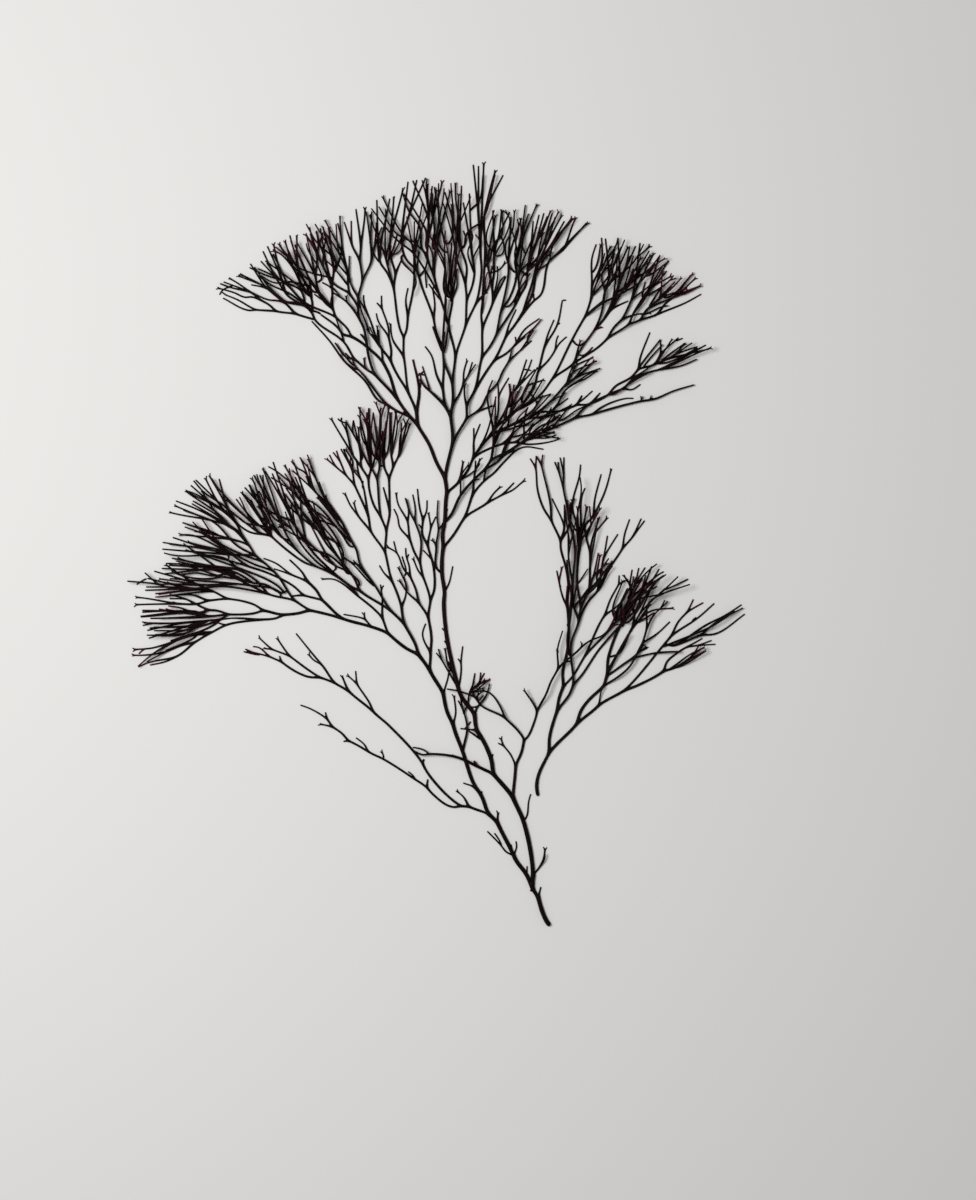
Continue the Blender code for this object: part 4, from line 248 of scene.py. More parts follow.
"side_branch": """
12 -46,496 -6,34 6,45 41,88; 11 -5,663 2,57 29,103 7,47 17,47 -2,53 20,100 -2,155; 7 50,917 35,38 48,80; 9
26,823 49,67 13,33 -8,157 30,90 7,53; 7 88,923 32,37 68,100; 6 66,1225 -14,25 -27,113; 7 66,1225 4,85
-10,65 -20,75 0,25 -35,78 -30,47 -23,70 -7,85; 5 70,1310 -6,95; 5 2 -55,1755 -22,38 24,10; 6 2 5,1553 -3,57
-35,155 -22,38 27,5; 6 40,1475 15,55 -48,110; 5 55,1530 0,87; 8 110,1170 -20,53 -4,87 9,140 -25,130 -20,100
-15,55; 5 2 35,1735 -18,45 13,0; 5 2 50,1680 2,50 -14,67 15,1; 7 117,1223 -13,87 3,90 13,95 -35,110 28,125
4,40; 6 120,1495 2,155 12,30; 8 117,1223 31,62 5,150 -15,58 -5,42 32,35 5,60 26,103; 6 165,1570 45,95
23,82; 6 153,1435 14,65 23,70; 5 167,1500 48,60; 8 110,1170 35,73 40,47 20,120; 6 2 205,1410 15,87 40,6; 6
185,1290 25,55 67,102 8,53 20,60; 6 2 277,1447 38,43 35,73 13,-8; 6 3 148,1285 17,55 20,92 30,-44; 11
-5,663 107,112 13,45 30,43 60,57 12,37 6,73 77,180; 10 102,775 85,72 98,56 45,17 105,57 45,13 40,25 75,38;
6 187,847 8,53 10,20; 8 285,903 155,180 25,30 25,52 35,38; 6 3 525,1203 25,50 38,-13; 7 435,977 10,33 40,35
40,25 60,33; 6 223,1030 37,10 50,95 70,70 85,13; 7 217,957 93,66 100,25 90,5; 8 205,920 55,35 45,40 48,88
17,57 25,50 30,30; 5 2 425,1220 15,30 13,-5; 6 353,1083 57,37 50,47; 6 465,1113 100,67 65,57; 6 440,1083
30,-10 130,82 70,35 65,42; 6 470,1073 105,42 55,45 110,60; 6 575,1115 60,5 112,76; 7 133,1035 57,125 18,30
22,60 33,60; 5 208,1190 42,30 35,35; 7 133,1035 107,115 40,60; 7 188,1060 102,115; 6 6 280,1210 30,65
-25,65 80,35; 6 5 280,1210 65,60 45,110 47,-35; 6 4 290,1175 45,45 30,120 50,-10; 6 3 263,1310 2,35 35,-15;
6 4 310,1135 35,65 55,125 40,-30; 6 3 70,1580 -5,55 30,5; 6 4 107,1400 3,70 -5,130 40,10; 6 3 86,1310
-16,110 -2,120 32,20; 6 3 138,1493 18,37 -6,80 33,-10; 6 3 185,1290 -7,50 12,75 35,-5; 6 3 40,1475 35,65
-10,80 20,5; 5 2 310,1023 30,27 15,25 18,-10; 6 2 525,1070 40,5 55,20 15,-15; 5 2 520,1015 25,22 25,38
16,-9; 6 5 300,1210 30,40 47,65 38,-45; 7 3 370,1140 5,95 35,30 80,75 45,-30
""",
"strands": """
7 -295,1795 49,85 39,150; 6 -1130,1420 -70,38 -86,88 -120,48; 6 -1185,1505 -165,91 -86,34; 6 -1137,1537
-139,147 -20,32; 7 -749,1447 -69,132 -106,115 -9,26; 6 -758,1451 -34,43 -26,34 -76,85 -56,34 -17,22; 7
-775,1349 -25,102 -60,43 -137,111 -55,72; 6 -818,1370 -25,30 -68,56 -99,114; 7 -1018,1277 -77,34 -42,4
-43,13 -81,12 -111,35 -42,8; 6 -1031,1268 -128,39 -34,4 -264,21; 6 -1018,1277 -30,30 -153,68 -196,68; 6
-1137,1315 -64,38 -222,56; 6 -1193,1311 -207,-3 -60,6; 6 -1201,1375 -43,34 -200,12 -34,9; 6 -1227,1409
-85,34 -149,21; 6 -940,2390 -16,48 -34,17 -25,13 -85,30 -52,25; 7 -833,2365 -93,124 -42,90; 8 -427,2412
-56,106 -38,56 -72,59 -92,115; 6 -483,2582 -17,98 -42,60 -24,72; 6 -404,2582 -2,243; 8 -395,2412 -11,136
-38,68 -30,51; 7 -395,2412 -9,170 2,81; 6 -329,2604 4,38 26,34 30,17 59,187; 6 -257,2523 22,25 12,38 -21,30
30,128; 6 -214,2506 -4,38 12,38 34,60 18,68 -13,21; 6 -84,2519 85,59 8,30 81,103; 7 133,2334 68,53 34,17
115,68 43,55 43,28; 6 201,2387 13,55 106,102 39,69; 6 159,2412 64,77 63,141; 6 235,2365 30,103 26,68 13,68;
6 -730,1306 -51,60 -29,85 -73,94 -43,43; 7 -1319,1172 -204,-12 -40,6
""",
"side_strands": """
7 103,1445 -1,107 17,124 -5,44; 7 270,1170 138,172 28,17; 7 288,1161 42,43 61,103 53,41; 8 210,1120 133,160
23,65; 6 428,1067 203,89 77,52
""",
}

# Fine strands among them, too many for the solids, each with one tip.
FINE = {
"fine": """
6 -215,1905 15,62 2,60 -2,56; 6 -198,2027 40,76; 6 -205,1895 31,5 24,82 10,25 17,45; 6 -150,1982 12,94; 6
-140,2007 30,63; 6 -130,2060 45,72 15,41; 6 -85,2132 13,-2; 6 -174,1900 51,16 37,29 89,93; 6 -123,1916 33,6
98,92 34,18; 6 -73,1908 45,38 38,34 43,60; 6 10,1980 60,44; 6 -28,1946 51,44 30,58 26,22 100,64; 6 79,2070
66,34 30,22; 7 90,2157 15,33 65,95; 6 63,2080 7,25 12,30 8,22; 6 82,2135 78,43; 6 70,2105 110,61; 6
105,2190 19,-4 40,34; 6 -200,1780 33,74 15,19 34,39 28,8; 6 -185,1848 41,42 18,52 38,40; 6 -152,1873 56,17
32,40; 6 -100,1860 5,105 10,25; 6 -165,1990 31,12 52,78; 6 -40,1885 56,67; 6 -86,1945 72,15 20,28; 6
-222,1830 40,90 12,60; 6 -222,1830 28,74 24,28 46,46 20,28; 6 -1200,1540 -23,31 -136,85 -36,13; 6
-1223,1571 -12,25 -94,68 -39,44; 6 -1070,1495 -97,93 -38,50; 6 -1099,1545 -77,111; 6 -1070,1495 -4,46
-72,128 -6,25; 6 -988,1520 -68,42 -60,107; 6 -970,1440 -27,37 -25,8 -94,120; 6 -1040,1510 -64,24 -33,3
-33,9 -34,28 -36,12; 6 -800,1451 -73,111 -90,73 -30,42; 6 -860,1494 -30,72 -38,60; 6 -843,1400 -77,140; 6
-911,1456 -123,74; 6 -818,1528 -76,32; 6 -1244,1439 -128,59 -42,2; 6 -1180,1328 -30,18 -36,4 -34,-8 -80,12
-44,-6; 6 -1261,1340 -29,-8 -120,10 -34,14; 6 -1150,2430 -83,20 -33,13; 6 -1245,2420 -15,12; 6 -1233,2450
-21,-8 -14,-22; 7 -1015,2391 -77,55 -55,13; 6 -947,2391 -60,38 -61,27 -52,38; 6 -930,2421 -26,25 -76,60
-60,43; 6 -904,2429 -77,111 -73,64; 6 -915,2405 -6,58 -59,150; 6 -819,2481 -107,25 -44,20; 6 -875,2481
-8,34 -47,81 -4,21; 6 -819,2532 -77,89 -38,68; 6 -819,2532 -9,30 -72,127; 6 -768,2481 -47,59 -40,110; 6
-823,2515 25,98 -17,83; 6 -777,2459 -63,75 -26,22; 6 -836,2442 -39,26; 6 -930,2455 -64,13 -60,-5 -59,31; 6
-956,2446 -8,35 -73,98 -21,8; 6 -887,2353 -22,4 -25,21 -115,17; 6 -915,2405 -49,99 -26,32; 6 -521,2574
-9,42 -21,17 -30,13 -76,111; 6 -551,2633 -89,158; 6 -476,2603 2,56 -26,51 -60,96; 6 -466,2650 0,51 -61,158;
6 -466,2701 -10,99 -15,59; 6 -476,2800 4,66; 6 -449,2599 7,73 -15,81 8,42 -8,30; 6 -444,2616 17,94 -17,124;
6 -406,2625 -21,102 0,119; 6 -470,2548 -13,34 -47,47; 6 -500,2493 22,25 8,39 -6,102; 6 -478,2518 4,-72; 6
-427,2408 -39,55; 8 -376,2399 13,98 0,68; 6 -376,2399 -13,34 9,98; 7 -376,2399 19,55 -2,56; 6 -385,2620
13,39 -8,187; 6 -359,2642 9,43 -13,110 0,47; 6 -342,2608 -8,77 12,25 34,85; 6 -329,2604 8,21 -12,42; 6
-299,2753 25,21 17,106; 6 -295,2514 -21,68 21,60 -9,25; 6 -291,2514 -4,43 26,68 -18,25; 6 -223,2586 13,39
22,17 4,94; 6 -184,2574 8,34 -12,34; 6 -146,2514 -25,68 4,43 21,34 9,77; 6 -230,2506 33,8 22,26; 6
-129,2510 -8,38 12,38 -8,30 13,51 -5,43; 6 -244,2429 -4,47 8,30; 6 -206,2429 18,51 17,13; 6 -84,2519 8,13
26,29 59,175; 6 -59,2502 56,47 4,29; 6 9,2608 64,90; 6 -20,2617 51,117; 6 -76,2532 9,64 34,55 33,85; 6
-101,2501 -35,65 5,42 -22,73; 6 -101,2587 -13,119; 7 -161,2374 60,123; 7 -136,2395 60,107; 6 -3,2549
144,143; 5 -60,2400 -4,13; 5 47,2400 15,-1; 5 29,2310 9,3; 5 170,2285 22,9; 5 -131,2230 -3,30; 6 -89,2247
56,80; 6 159,2510 17,17 17,81; 6 355,2344 72,30 26,4; 6 -687,1754 -51,102 -19,34 -24,39; 5 -757,1890 2,47;
5 -802,1933 -13,13; 5 -802,1933 2,17; 6 -759,1754 4,21 -26,47; 6 -723,1706 -36,44; 6 -695,1805 -5,30 -17,26
-12,119; 6 -700,1835 -4,85 -13,26; 6 -674,1797 -13,72 9,94; 6 -670,1797 22,149 -18,55; 6 -653,1771 26,166;
6 -636,1792 13,26 9,153; 6 -610,1809 25,116 -4,38; 6 -585,1925 26,46; 6 -580,1809 8,77 34,64; 6 -648,1946
14,47; 6 -734,1383 -55,26; 6 -768,1477 -68,68 -60,43 -30,8; 6 -781,1366 -72,60 -56,17 -42,38; 6 -781,1362
-85,47 -13,17; 6 -678,1306 -77,81 -34,26; 6 -589,1433 -11,43; 6 -553,1350 -15,68; 6 -549,1298 -31,72; 5
-550,1408 8,18; 5 -406,1556 13,44; 5 -491,1520 -13,21; 5 -646,1295 8,11; 7 -1310,1248 -56,21 -148,-8; 6
-1370,1238 -21,13 -69,4; 5 -1425,1236 -24,7; 6 -1315,1210 -21,-12 -89,24 -39,5; 6 -1357,1206 -94,4 -14,4; 7
-1332,1196 -238,-11; 6 -1302,1187 -232,-8; 5 -1523,1160 -40,-8; 7 -1319,1166 -218,-24; 6 -1340,1150 -34,-12
-144,-6; 6 -1374,1132 -26,-10 -116,-5; 6 -1400,1120 -144,-5; 7 -1278,1162 -178,-69; 7 -1306,1127 -51,-4
-163,-77; 6 -1451,1062 -94,-49; 5 -1555,1063 -23,-20; 7 -1297,1282 -127,-11; 7 -1320,1290 -127,-9 -68,-7; 7
-1366,1294 -188,-7; 6 -1121,1042 -48,20; 6 -1121,1040 -55,12; 7 338,2138 85,111; 6 362,2150 39,47 31,33; 7
399,2154 65,90; 5 491,2246 18,8; 6 431,2171 89,65; 6 444,2171 101,64; 6 420,2156 41,8 99,50; 7 415,2132
183,96; 7 423,2133 187,80; 6 310,2100 90,54; 6 278,2062 105,62; 5 348,2012 2,9; 6 376,2014 9,8; 7 240,2035
43,30; 8 -412,2215 13,245 -2,50 -41,93; 8 -419,2225 -31,75; 8 -380,2400 31,180; 8 -572,2568 53,-76 7,-20
-18,-57; 7 -660,2550 -33,74; 7 -654,2555 4,70 -16,30; 7 -628,2560 22,100; 7 -615,2560 30,98; 7 -608,2565
42,81; 6 -584,2578 25,57; 6 -622,2538 14,70; 8 -696,2284 -32,91 -5,35; 7 -716,2400 1,20; 7 -658,2226
-34,72; 6 -659,2226 0,62; 8 -834,2365 -70,57; 7 -836,2365 -4,35 10,30; 7 -810,2420 -24,28; 7 -779,2394
-2,16; 7 -760,2154 -62,80; 7 -746,2136 -46,30 -14,28; 6 -775,2186 -11,12; 7 -700,2094 -25,26; 7 -334,2076
49,78; 6 -497,2116 -8,4; 6 -496,2118 7,5; 8 -223,1810 10,80 4,138; 8 -175,1820 36,72; 8 -98,1862 69,60
37,12 26,20; 7 -86,1864 98,28; 6 -68,1870 68,3 24,11; 8 16,1920 62,78; 8 -42,1946 116,47; 8 62,2072 96,106;
8 66,2076 100,88; 8 -110,2016 62,126; 8 -74,2078 44,14; 8 -128,1974 62,90; 7 -170,1946 16,94 -4,40; 7
-156,1990 17,86; 8 -152,1966 70,106; 8 -334,1716 50,34 16,24; 7 -288,1744 2,41; 6 -298,1704 26,10; 7
119,2014 44,38; 8 46,1940 64,42 36,14; 7 -271,852 -8,28 5,24 -14,15 -10,-9; 7 -286,918 12,10 8,45; 6
-274,923 20,18; 6 -274,914 39,28; 6 -278,882 24,27; 6 -270,868 16,17; 8 -332,820 -18,90; 8 -329,822 18,34;
6 -282,840 -30,0; 8 -318,764 14,20; 10 -274,721 -40,29; 8 -376,986 -15,29; 12 -280,614 -12,20; 11 -366,650
-10,7; 7 -1240,1549 -154,115; 7 -1282,1504 -127,42; 8 -1210,1354 -96,19 -149,10; 7 -1360,1200 -94,8
-111,-5; 8 -1244,1154 -50,18; 7 -1364,1106 -110,-50; 7 -930,1630 -123,116 -29,16; 8 -990,1554 -105,49
-77,79; 8 -1050,1526 -64,48 -39,62 -29,26; 8 -1072,1501 -109,78 -63,57; 8 -1084,1499 -73,13 -83,74; 8
-910,1534 -104,146; 7 -910,1682 -48,114; 7 -924,1716 -22,28 -24,10 -18,24; 10 -416,2210 -34,86; 10
-406,2205 17,101; 9 -398,2318 1,87; 8 -382,2460 4,160; 8 -365,2515 22,85; 8 -448,2505 -4,75 -13,30; 8
-509,2505 6,75; 8 -242,2435 19,85; 8 -219,2400 19,100 -3,30; 8 -260,2355 8,68; 10 -132,2484 70,78; 9
-99,2496 37,30; 8 -109,2212 47,72; 8 -130,2234 65,56; 9 -760,1815 -24,90 -15,25; 9 -695,1825 -5,101 -29,54;
8 -700,1930 5,56; 8 -702,1936 -1,34; 8 -663,1845 -16,125; 8 -660,1855 -7,62; 8 -720,1795 -11,57; 8
-687,1764 -19,76; 10 -683,1755 19,85; 9 -654,1765 -15,75; 8 -649,1810 9,56; 8 -633,1803 -18,87; 10
-653,1766 17,-2; 10 -578,1806 23,94 11,40; 8 -553,1920 -10,26; 8 -752,1748 -16,34 6,18; 8 -736,1740 -5,38;
9 -720,1686 2,22; 8 334,2562 44,41; 9 294,2445 86,143; 9 330,2488 52,80; 9 350,2496 60,58 12,18; 9 376,2492
75,53; 8 380,2495 17,35; 8 302,2475 19,47; 10 258,2430 94,68; 10 228,2460 68,137; 8 238,2495 19,78 15,28; 8
204,2508 32,30; 9 199,2520 30,80; 9 226,2568 30,48 4,22; 9 316,2404 46,34 33,28; 8 352,2420 14,50; 10
380,2420 81,56 12,18; 8 461,2475 23,8; 9 386,2386 37,58; 9 444,2406 99,90; 8 503,2430 51,51; 8 384,2372
144,58; 8 426,2414 44,38; 8 514,2423 59,30; 6 -1564,1324 -22,-15
""",
"fine_side": """
6 35,1310 9,60; 6 124,1510 15,94; 8 112,1462 77,133; 7 75,1470 -21,146; 6 152,1375 26,152 5,38; 6 109,1316
36,54; 9 94,1224 82,79 26,60; 6 94,1522 -23,56 8,47; 7 240,1195 36,123; 7 270,1200 18,77 23,17 8,48; 7
300,1260 73,99 37,30; 6 446,1292 84,38; 7 339,1170 39,56; 6 400,1045 98,8; 6 460,986 80,58 46,22; 6 490,992
102,60; 7 552,1178 9,5; 6 343,1050 22,17; 8 250,1175 42,101 44,70; 8 264,1186 90,148; 8 244,1190 52,106; 7
294,1214 36,80; 7 318,1216 40,80; 9 74,1040 2,150 24,270; 8 109,1180 34,100; 10 29,1045 -3,19; 10 49,916
13,8; 12 222,975 78,145; 12 70,1155 13,90; 11 83,1235 -11,95; 10 59,1240 7,65; 10 85,1230 17,80; 12
112,1244 42,60; 9 158,1295 82,105; 8 185,1286 43,80 12,14; 10 224,1135 24,53 0,22; 12 280,1155 2,50; 11
312,1135 13,70; 10 344,1168 56,34; 9 286,1165 34,65
""",
}

# Rounder sections and smoother routes than the solids have.
STEP = 1.6
SMOOTHING = 1
WIDER = 1.46
HIGHER = 1.12
TOP_WIDTH = 0.7
LEAN = 0.65
SHORTEST = 0.1
LEAST_ANGLE = 0.05
WEB_LIMIT = 2.4
WEB_SHARE = 0.5
CLEAR_SHARE = 0.6
CLEAR_WIDTH = 0.4
KNOT = 1.12
UNEVEN = 0.1
UNEVEN_SCALE = 0.45
SLIM = 0.68
SLIM_REACH = 20.0

# Blunt tips, some of them with a last, tiny fork.
BLUNT = 0.95
TIP_CAP = 0.25
CAP_SHARE = 0.3
BUDS = 0.26
BUD_TURN = (18, 42)
BUD_LENGTH = (0.7, 1.5)
BUD_WIDTH = 0.75

# Colours of the dried skin.
BLACK = (0.0042, 0.0012, 0.0015, 1)
BROWN = (0.0088, 0.002, 0.0026, 1)
MAROON = (0.052, 0.006, 0.011, 1)

# Sockets of the colour mixing node.
FIRST, SECOND, MIXED = 6, 7, 2


class Fork:
    """A point of the plant, with the points that grow from it."""

    def __init__(self, spot, width):
        self.spot = spot
        self.width = width
        self.grows = []


def read(text):
    """Branches of one frond, each with its width, its number of tips and its points in millimetres."""
    branches = []
    for entry in text.split(";"):
        width, *route = entry.split()
        tips = 1 if "," in route[0] else int(route.pop(0))
        x = y = 0
        points = []
        for step in route:
            right, up = step.split(",")
            x += int(right)
            y += int(up)
            points.append((x / TENTHS, y / TENTHS))
        branches.append((float(width) / TENTHS, tips, points))
    return branches


FRONDS = {name: read(text) for name, text in (PLAN | FINE).items()}


def mix(a, b, t):
    """Point between a and b."""
    return tuple(u + (v - u) * t for u, v in zip(a, b))


def tip_places(fork, left, right, count, draw):
    """Tips between the two outer ones, on an arc that bulges away from the fork."""
    middle = mix(left, right, 0.5)
    reach = math.dist(fork, middle)
    outward = ((middle[0] - fork[0]) / reach, (middle[1] - fork[1]) / reach)
    places = []
    for i in range(count):
        t = i / (count - 1)
        rise = ARC_RISE * math.dist(left, right) * 4 * t * (1 - t)
        if 0 < i < count - 1:
            rise += TIP_SCATTER - min(TIP_SET_BACK, SET_BACK_SHARE * reach) * draw.random() ** 2
        spot = mix(left, right, t)
        places.append((spot[0] + outward[0] * rise, spot[1] + outward[1] * rise))
    return places


def fan(path, tips, draw):
    """The path carried on to one of the tips, and the paths that fork off it to the others."""
    if len(tips) == 1:
        return [path + tips]
    cut = len(tips) // 2 + (len(tips) % 2) * draw.randint(0, 1)
    paths = []
    for start, group in zip((path, path[-1:]), (tips[:cut], tips[cut:])):
        if len(group) > 1:
            share = draw.uniform(*RUN_SPREAD) / (math.ceil(math.log2(len(group))) + LAST_RUN)
            start = start + [mix(path[-1], mix(group[0], group[-1], 0.5), share)]
        paths += fan(start, group, draw)
    return paths


def paths_of(branch, draw):
    """The paths that a branch of the plan is made of, its main one first."""
    _, tips, points = branch
    if tips == 1:
        return [list(points)]
    route, left, right = points[:-2], points[-2], points[-1]
    room = math.dist(left, right) / TIP_SPACING
    count = max(2, round(min(tips * TIPS_KEPT, room + 1)))
    return fan(route, tip_places(route[-1], left, right, count, draw), draw)


def with_neck(path, width):
    """The path with a point where the branch has shrunk from its parent's width to its own."""
    share = min(NECK_SHARE, NECK * width / math.dist(path[0], path[1]))
    return [path[0], mix(path[0], path[1], share)] + path[1:]


def laid(paths, width, start, layer):
    """The paths as strands of (point, width), at the height where the branch lies."""
    total = max(1.0, sum(math.dist(a, b) for a, b in zip(paths[0], paths[0][1:])))
    passed = {paths[0][0]: 0.0}
    strands = []
    for path in paths:
        strand = []
        for before, spot in zip([path[0]] + path, path):
            run = passed.setdefault(spot, passed[before] + math.dist(before, spot))
            t = min(1.0, run / CLIMB)
            height = start + (layer - start) * t * t * (3 - 2 * t)
            strand.append((Vector((*spot, height)), max(FINEST, width * (1 - TAPER * run / total))))
        strands.append(strand)
    return strands


def samples(strands):
    """Points a millimetre apart along the strands, each with its width and the ends of its run."""
    for strand in strands:
        for (a, wide), (b, _) in zip(strand, strand[1:]):
            steps = max(1, math.ceil((b - a).length))
            ends = {tuple(a.xy), tuple(b.xy)}
            for i in range(steps + 1):
                yield a.lerp(b, i / steps), wide, ends


def cell(spot):
    """Square of the plan in which the crowd keeps the samples round a spot."""
    return int(spot[0] // CELL), int(spot[1] // CELL)


def join(crowd, strands):
    """Add the samples of the strands to the crowd."""
    for sample in samples(strands):
        crowd.setdefault(cell(sample[0]), []).append(sample)


def around(spot, crowd):
    """Samples of the crowd in the square of a spot and in the eight round it."""
    x, y = cell(spot)
    return [s for i in (-1, 0, 1) for j in (-1, 0, 1) for s in crowd.get((x + i, y + j), ())]


def touching(strands, crowd):
    """Pairs of samples, of the strands and of those laid before them, that lie in one another."""
    for p, wide, ends in samples(strands):
        for q, other, other_ends in around(p, crowd):
            upper = wide if p.z < q.z else other
            beside = (p - q).xy.length > (wide + other) / 2 + GAP
            if not beside and abs(p.z - q.z) < upper * THICKNESS + GAP:
                yield p, q, ends.isdisjoint(other_ends)


def settled(paths, width, start, lowest, crowd):
    """The strands on the lowest layer where they are clear, apart from round their root, or None."""
    root = Vector(paths[0][0])
    for step in range(lowest, LAYERS):
        strands = laid(paths, width, start, step * PITCH)
        pairs = touching(strands, crowd)
        if all((p.xy - root).length < ROOT_ZONE and (q.xy - root).length < ROOT_ZONE for p, q, _ in pairs):
            return strands
    return None


def turn(ahead, way):
    """Angle from one direction to another in plan, positive to the left."""
    return math.atan2(ahead.x * way.y - ahead.y * way.x, ahead.dot(way))


def steep(root, before, strand):
    """Whether a branch leaves its parent too sharply to grow out of it in one skin."""
    if before is None:
        return False
    return abs(turn((root.spot - before.spot).xy, (strand[1][0] - strand[0][0]).xy)) > STEEP


def grown(fronds, draw, crowd):
    """The fronds as trees of forks, laid over what the crowd of samples holds already."""
    forks = {}
    before = {}
    trees = []
    for frond in fronds:
        for branch in FRONDS[frond]:
            width = branch[0]
            paths = paths_of(branch, draw)
            parent = forks.get(paths[0][0])
            start = parent.spot.z if parent else 0.0
            if parent and parent.width > NECK_RATIO * max(width, FINEST):
                paths[0] = with_neck(paths[0], parent.width)
            strands = settled(paths, width, start, LOWEST.get(frond, 0), crowd)
            if strands is None:
                strands = laid(paths, width, start, LOWEST.get(frond, 0) * PITCH)
            crossed = any(apart for _, _, apart in touching(strands, crowd))
            loose = crossed or not parent or steep(parent, before.get(parent), strands[0])
            join(crowd, strands)
            local = {}
            for path, strand in zip(paths, strands):
                fork = local.get(path[0]) or parent
                if path is paths[0] and loose:
                    spot = strand[0][0]
                    if parent:
                        inward = (spot - strand[1][0]).xy.normalized() * SINK
                        spot = spot + inward.to_3d()
                    fork = Fork(spot, strand[0][1])
                    trees.append(fork)
                local.setdefault(path[0], fork)
                forks.setdefault(path[0], fork)
                for place, (spot, wide) in list(zip(path, strand))[1:]:
                    point = Fork(spot, wide)
                    fork.grows.append(point)
                    before[point] = fork
                    local.setdefault(place, point)
                    forks.setdefault(place, point)
                    fork = point
    return trees


def rooted(path, crowd, back=0.0):
    """The path from the nearest branch on, and the height of its root.

    The root is sought a little behind the start of the path, and a start that would
    make the strand turn back is left out.
    """
    ahead = (Vector(path[1]) - Vector(path[0])).normalized()
    sought = Vector(path[0]) - back * ahead
    near = [sample[0] for sample in around(path[0], crowd)]
    root = min(near, key=lambda p: math.dist(p.xy, sought), default=None)
    if root is None or math.dist(root.xy, path[0]) > ROOT_REACH:
        return path, 0.0
    hooked = back and (Vector(path[0]) - root.xy).dot(ahead) < 0
    onward = path[1:] if hooked or math.dist(root.xy, path[0]) < FINEST else path
    return [tuple(root.xy)] + onward, root.z


def strewn(frond, crowd, back=0.0):
    """The fine strands of a frond, each a tree of its own that starts inside the nearest branch."""
    trees = []
    for width, _, points in FRONDS[frond]:
        path, start = rooted(points, crowd, back)
        strands = settled([path], width, start, 0, crowd) or laid([path], width, start, 0.0)
        join(crowd, strands)
        forks = [Fork(spot, wide) for spot, wide in strands[0]]
        for fork, point in zip(forks, forks[1:]):
            fork.grows.append(point)
        trees.append(forks[0])
    return trees


def budded(trees, draw):
    """Give some of the tips a last, tiny fork."""
    for root in trees:
        waiting = [(None, root)]
        while waiting:
            before, fork = waiting.pop()
            if not fork.grows and before and draw.random() < BUDS:
                ahead = (fork.spot - before.spot).xy.normalized()
                for side in (-1, 1):
                    way = ahead.copy()
                    way.rotate(Matrix.Rotation(side * math.radians(draw.uniform(*BUD_TURN)), 2))
                    spot = fork.spot + (way * draw.uniform(*BUD_LENGTH)).to_3d()
                    fork.grows.append(Fork(spot, fork.width * BUD_WIDTH))
            elif fork.grows:
                waiting += [(fork, point) for point in fork.grows]


def flows(root):
    """Direction in plan in which each point of the tree is passed."""
    flow = {root: (root.grows[0].spot - root.spot).xy.normalized()}
    waiting = [root]
    while waiting:
        fork = waiting.pop()
        for point in fork.grows:
            inward = (point.spot - fork.spot).xy.normalized()
            onward = sum(((g.spot - point.spot).xy.normalized() for g in point.grows), Vector((0, 0)))
            flow[point] = (inward + onward.normalized()).normalized() if onward.length else inward
            waiting.append(point)
    return flow


def reaches(root):
    """Distance from each point of the tree to the furthest tip that grows from it."""
    order = [root]
    for fork in order:
        order += fork.grows
    reach = {}
    for fork in reversed(order):
        reach[fork] = max(((g.spot - fork.spot).length + reach[g] for g in fork.grows), default=0.0)
    return reach


def bend(a, b, leave, arrive, t):
    """Point and direction of the curve from a to b that leaves and arrives in the given directions."""
    span = (b - a).xy.length
    start, end = leave.to_3d() * span, arrive.to_3d() * span
    start.z = end.z = b.z - a.z
    s = t * t * (3 - 2 * t)
    spot = a.lerp(b, s) + start * (t * (1 - t) ** 2) - end * (t * t * (1 - t))
    slope = (b - a) * (6 * t * (1 - t)) + start * (1 - 4 * t + 3 * t * t) + end * (3 * t * t - 2 * t)
    return spot, slope.xy.normalized()


class Cage:
    """Corners and faces round which the smooth skin of the branches is drawn."""

    def __init__(self):
        self.verts = []
        self.faces = []
        self.reach = []
        self.tone = []

    def corner(self, spot, reach, tone):
        """Index of a new corner."""
        self.verts.append(spot)
        self.reach.append(reach)
        self.tone.append(tone)
        return len(self.verts) - 1

    def ring(self, spot, width, ahead, reach, tone):
        """Section of a branch: left, right, right of the top and left of the top."""
        half = Vector((ahead.y, -ahead.x, 0)) * width / 2 * WIDER
        top = Vector((0, 0, width * THICKNESS * HIGHER))
        corners = (spot - half, spot + half, spot + half * TOP_WIDTH + top, spot - half * TOP_WIDTH + top)
        return [self.corner(c, reach, tone) for c in corners]

    def tube(self, start, end):
        """Faces from one section to the next."""
        for k in range(4):
            n = (k + 1) % 4
            self.faces.append((start[k], start[n], end[n], end[k]))


def crotch(fork, left, right):
    """Where the inner edges of two branches that leave a fork side by side meet."""
    middle = (left["leave"] + right["leave"]).normalized()
    half_angle = max(LEAST_ANGLE, abs(turn(left["leave"], right["leave"])) / 2)
    width = (left["width"] + right["width"]) / 2
    limit = min(WEB_LIMIT * width, WEB_SHARE * min(left["length"], right["length"]))
    run = min(limit, width / 2 / math.sin(half_angle))
    rise = (left["rise"] + right["rise"]) / 2 * run
    return fork.spot + middle.to_3d() * run + Vector((0, 0, rise)), run * math.cos(half_angle)


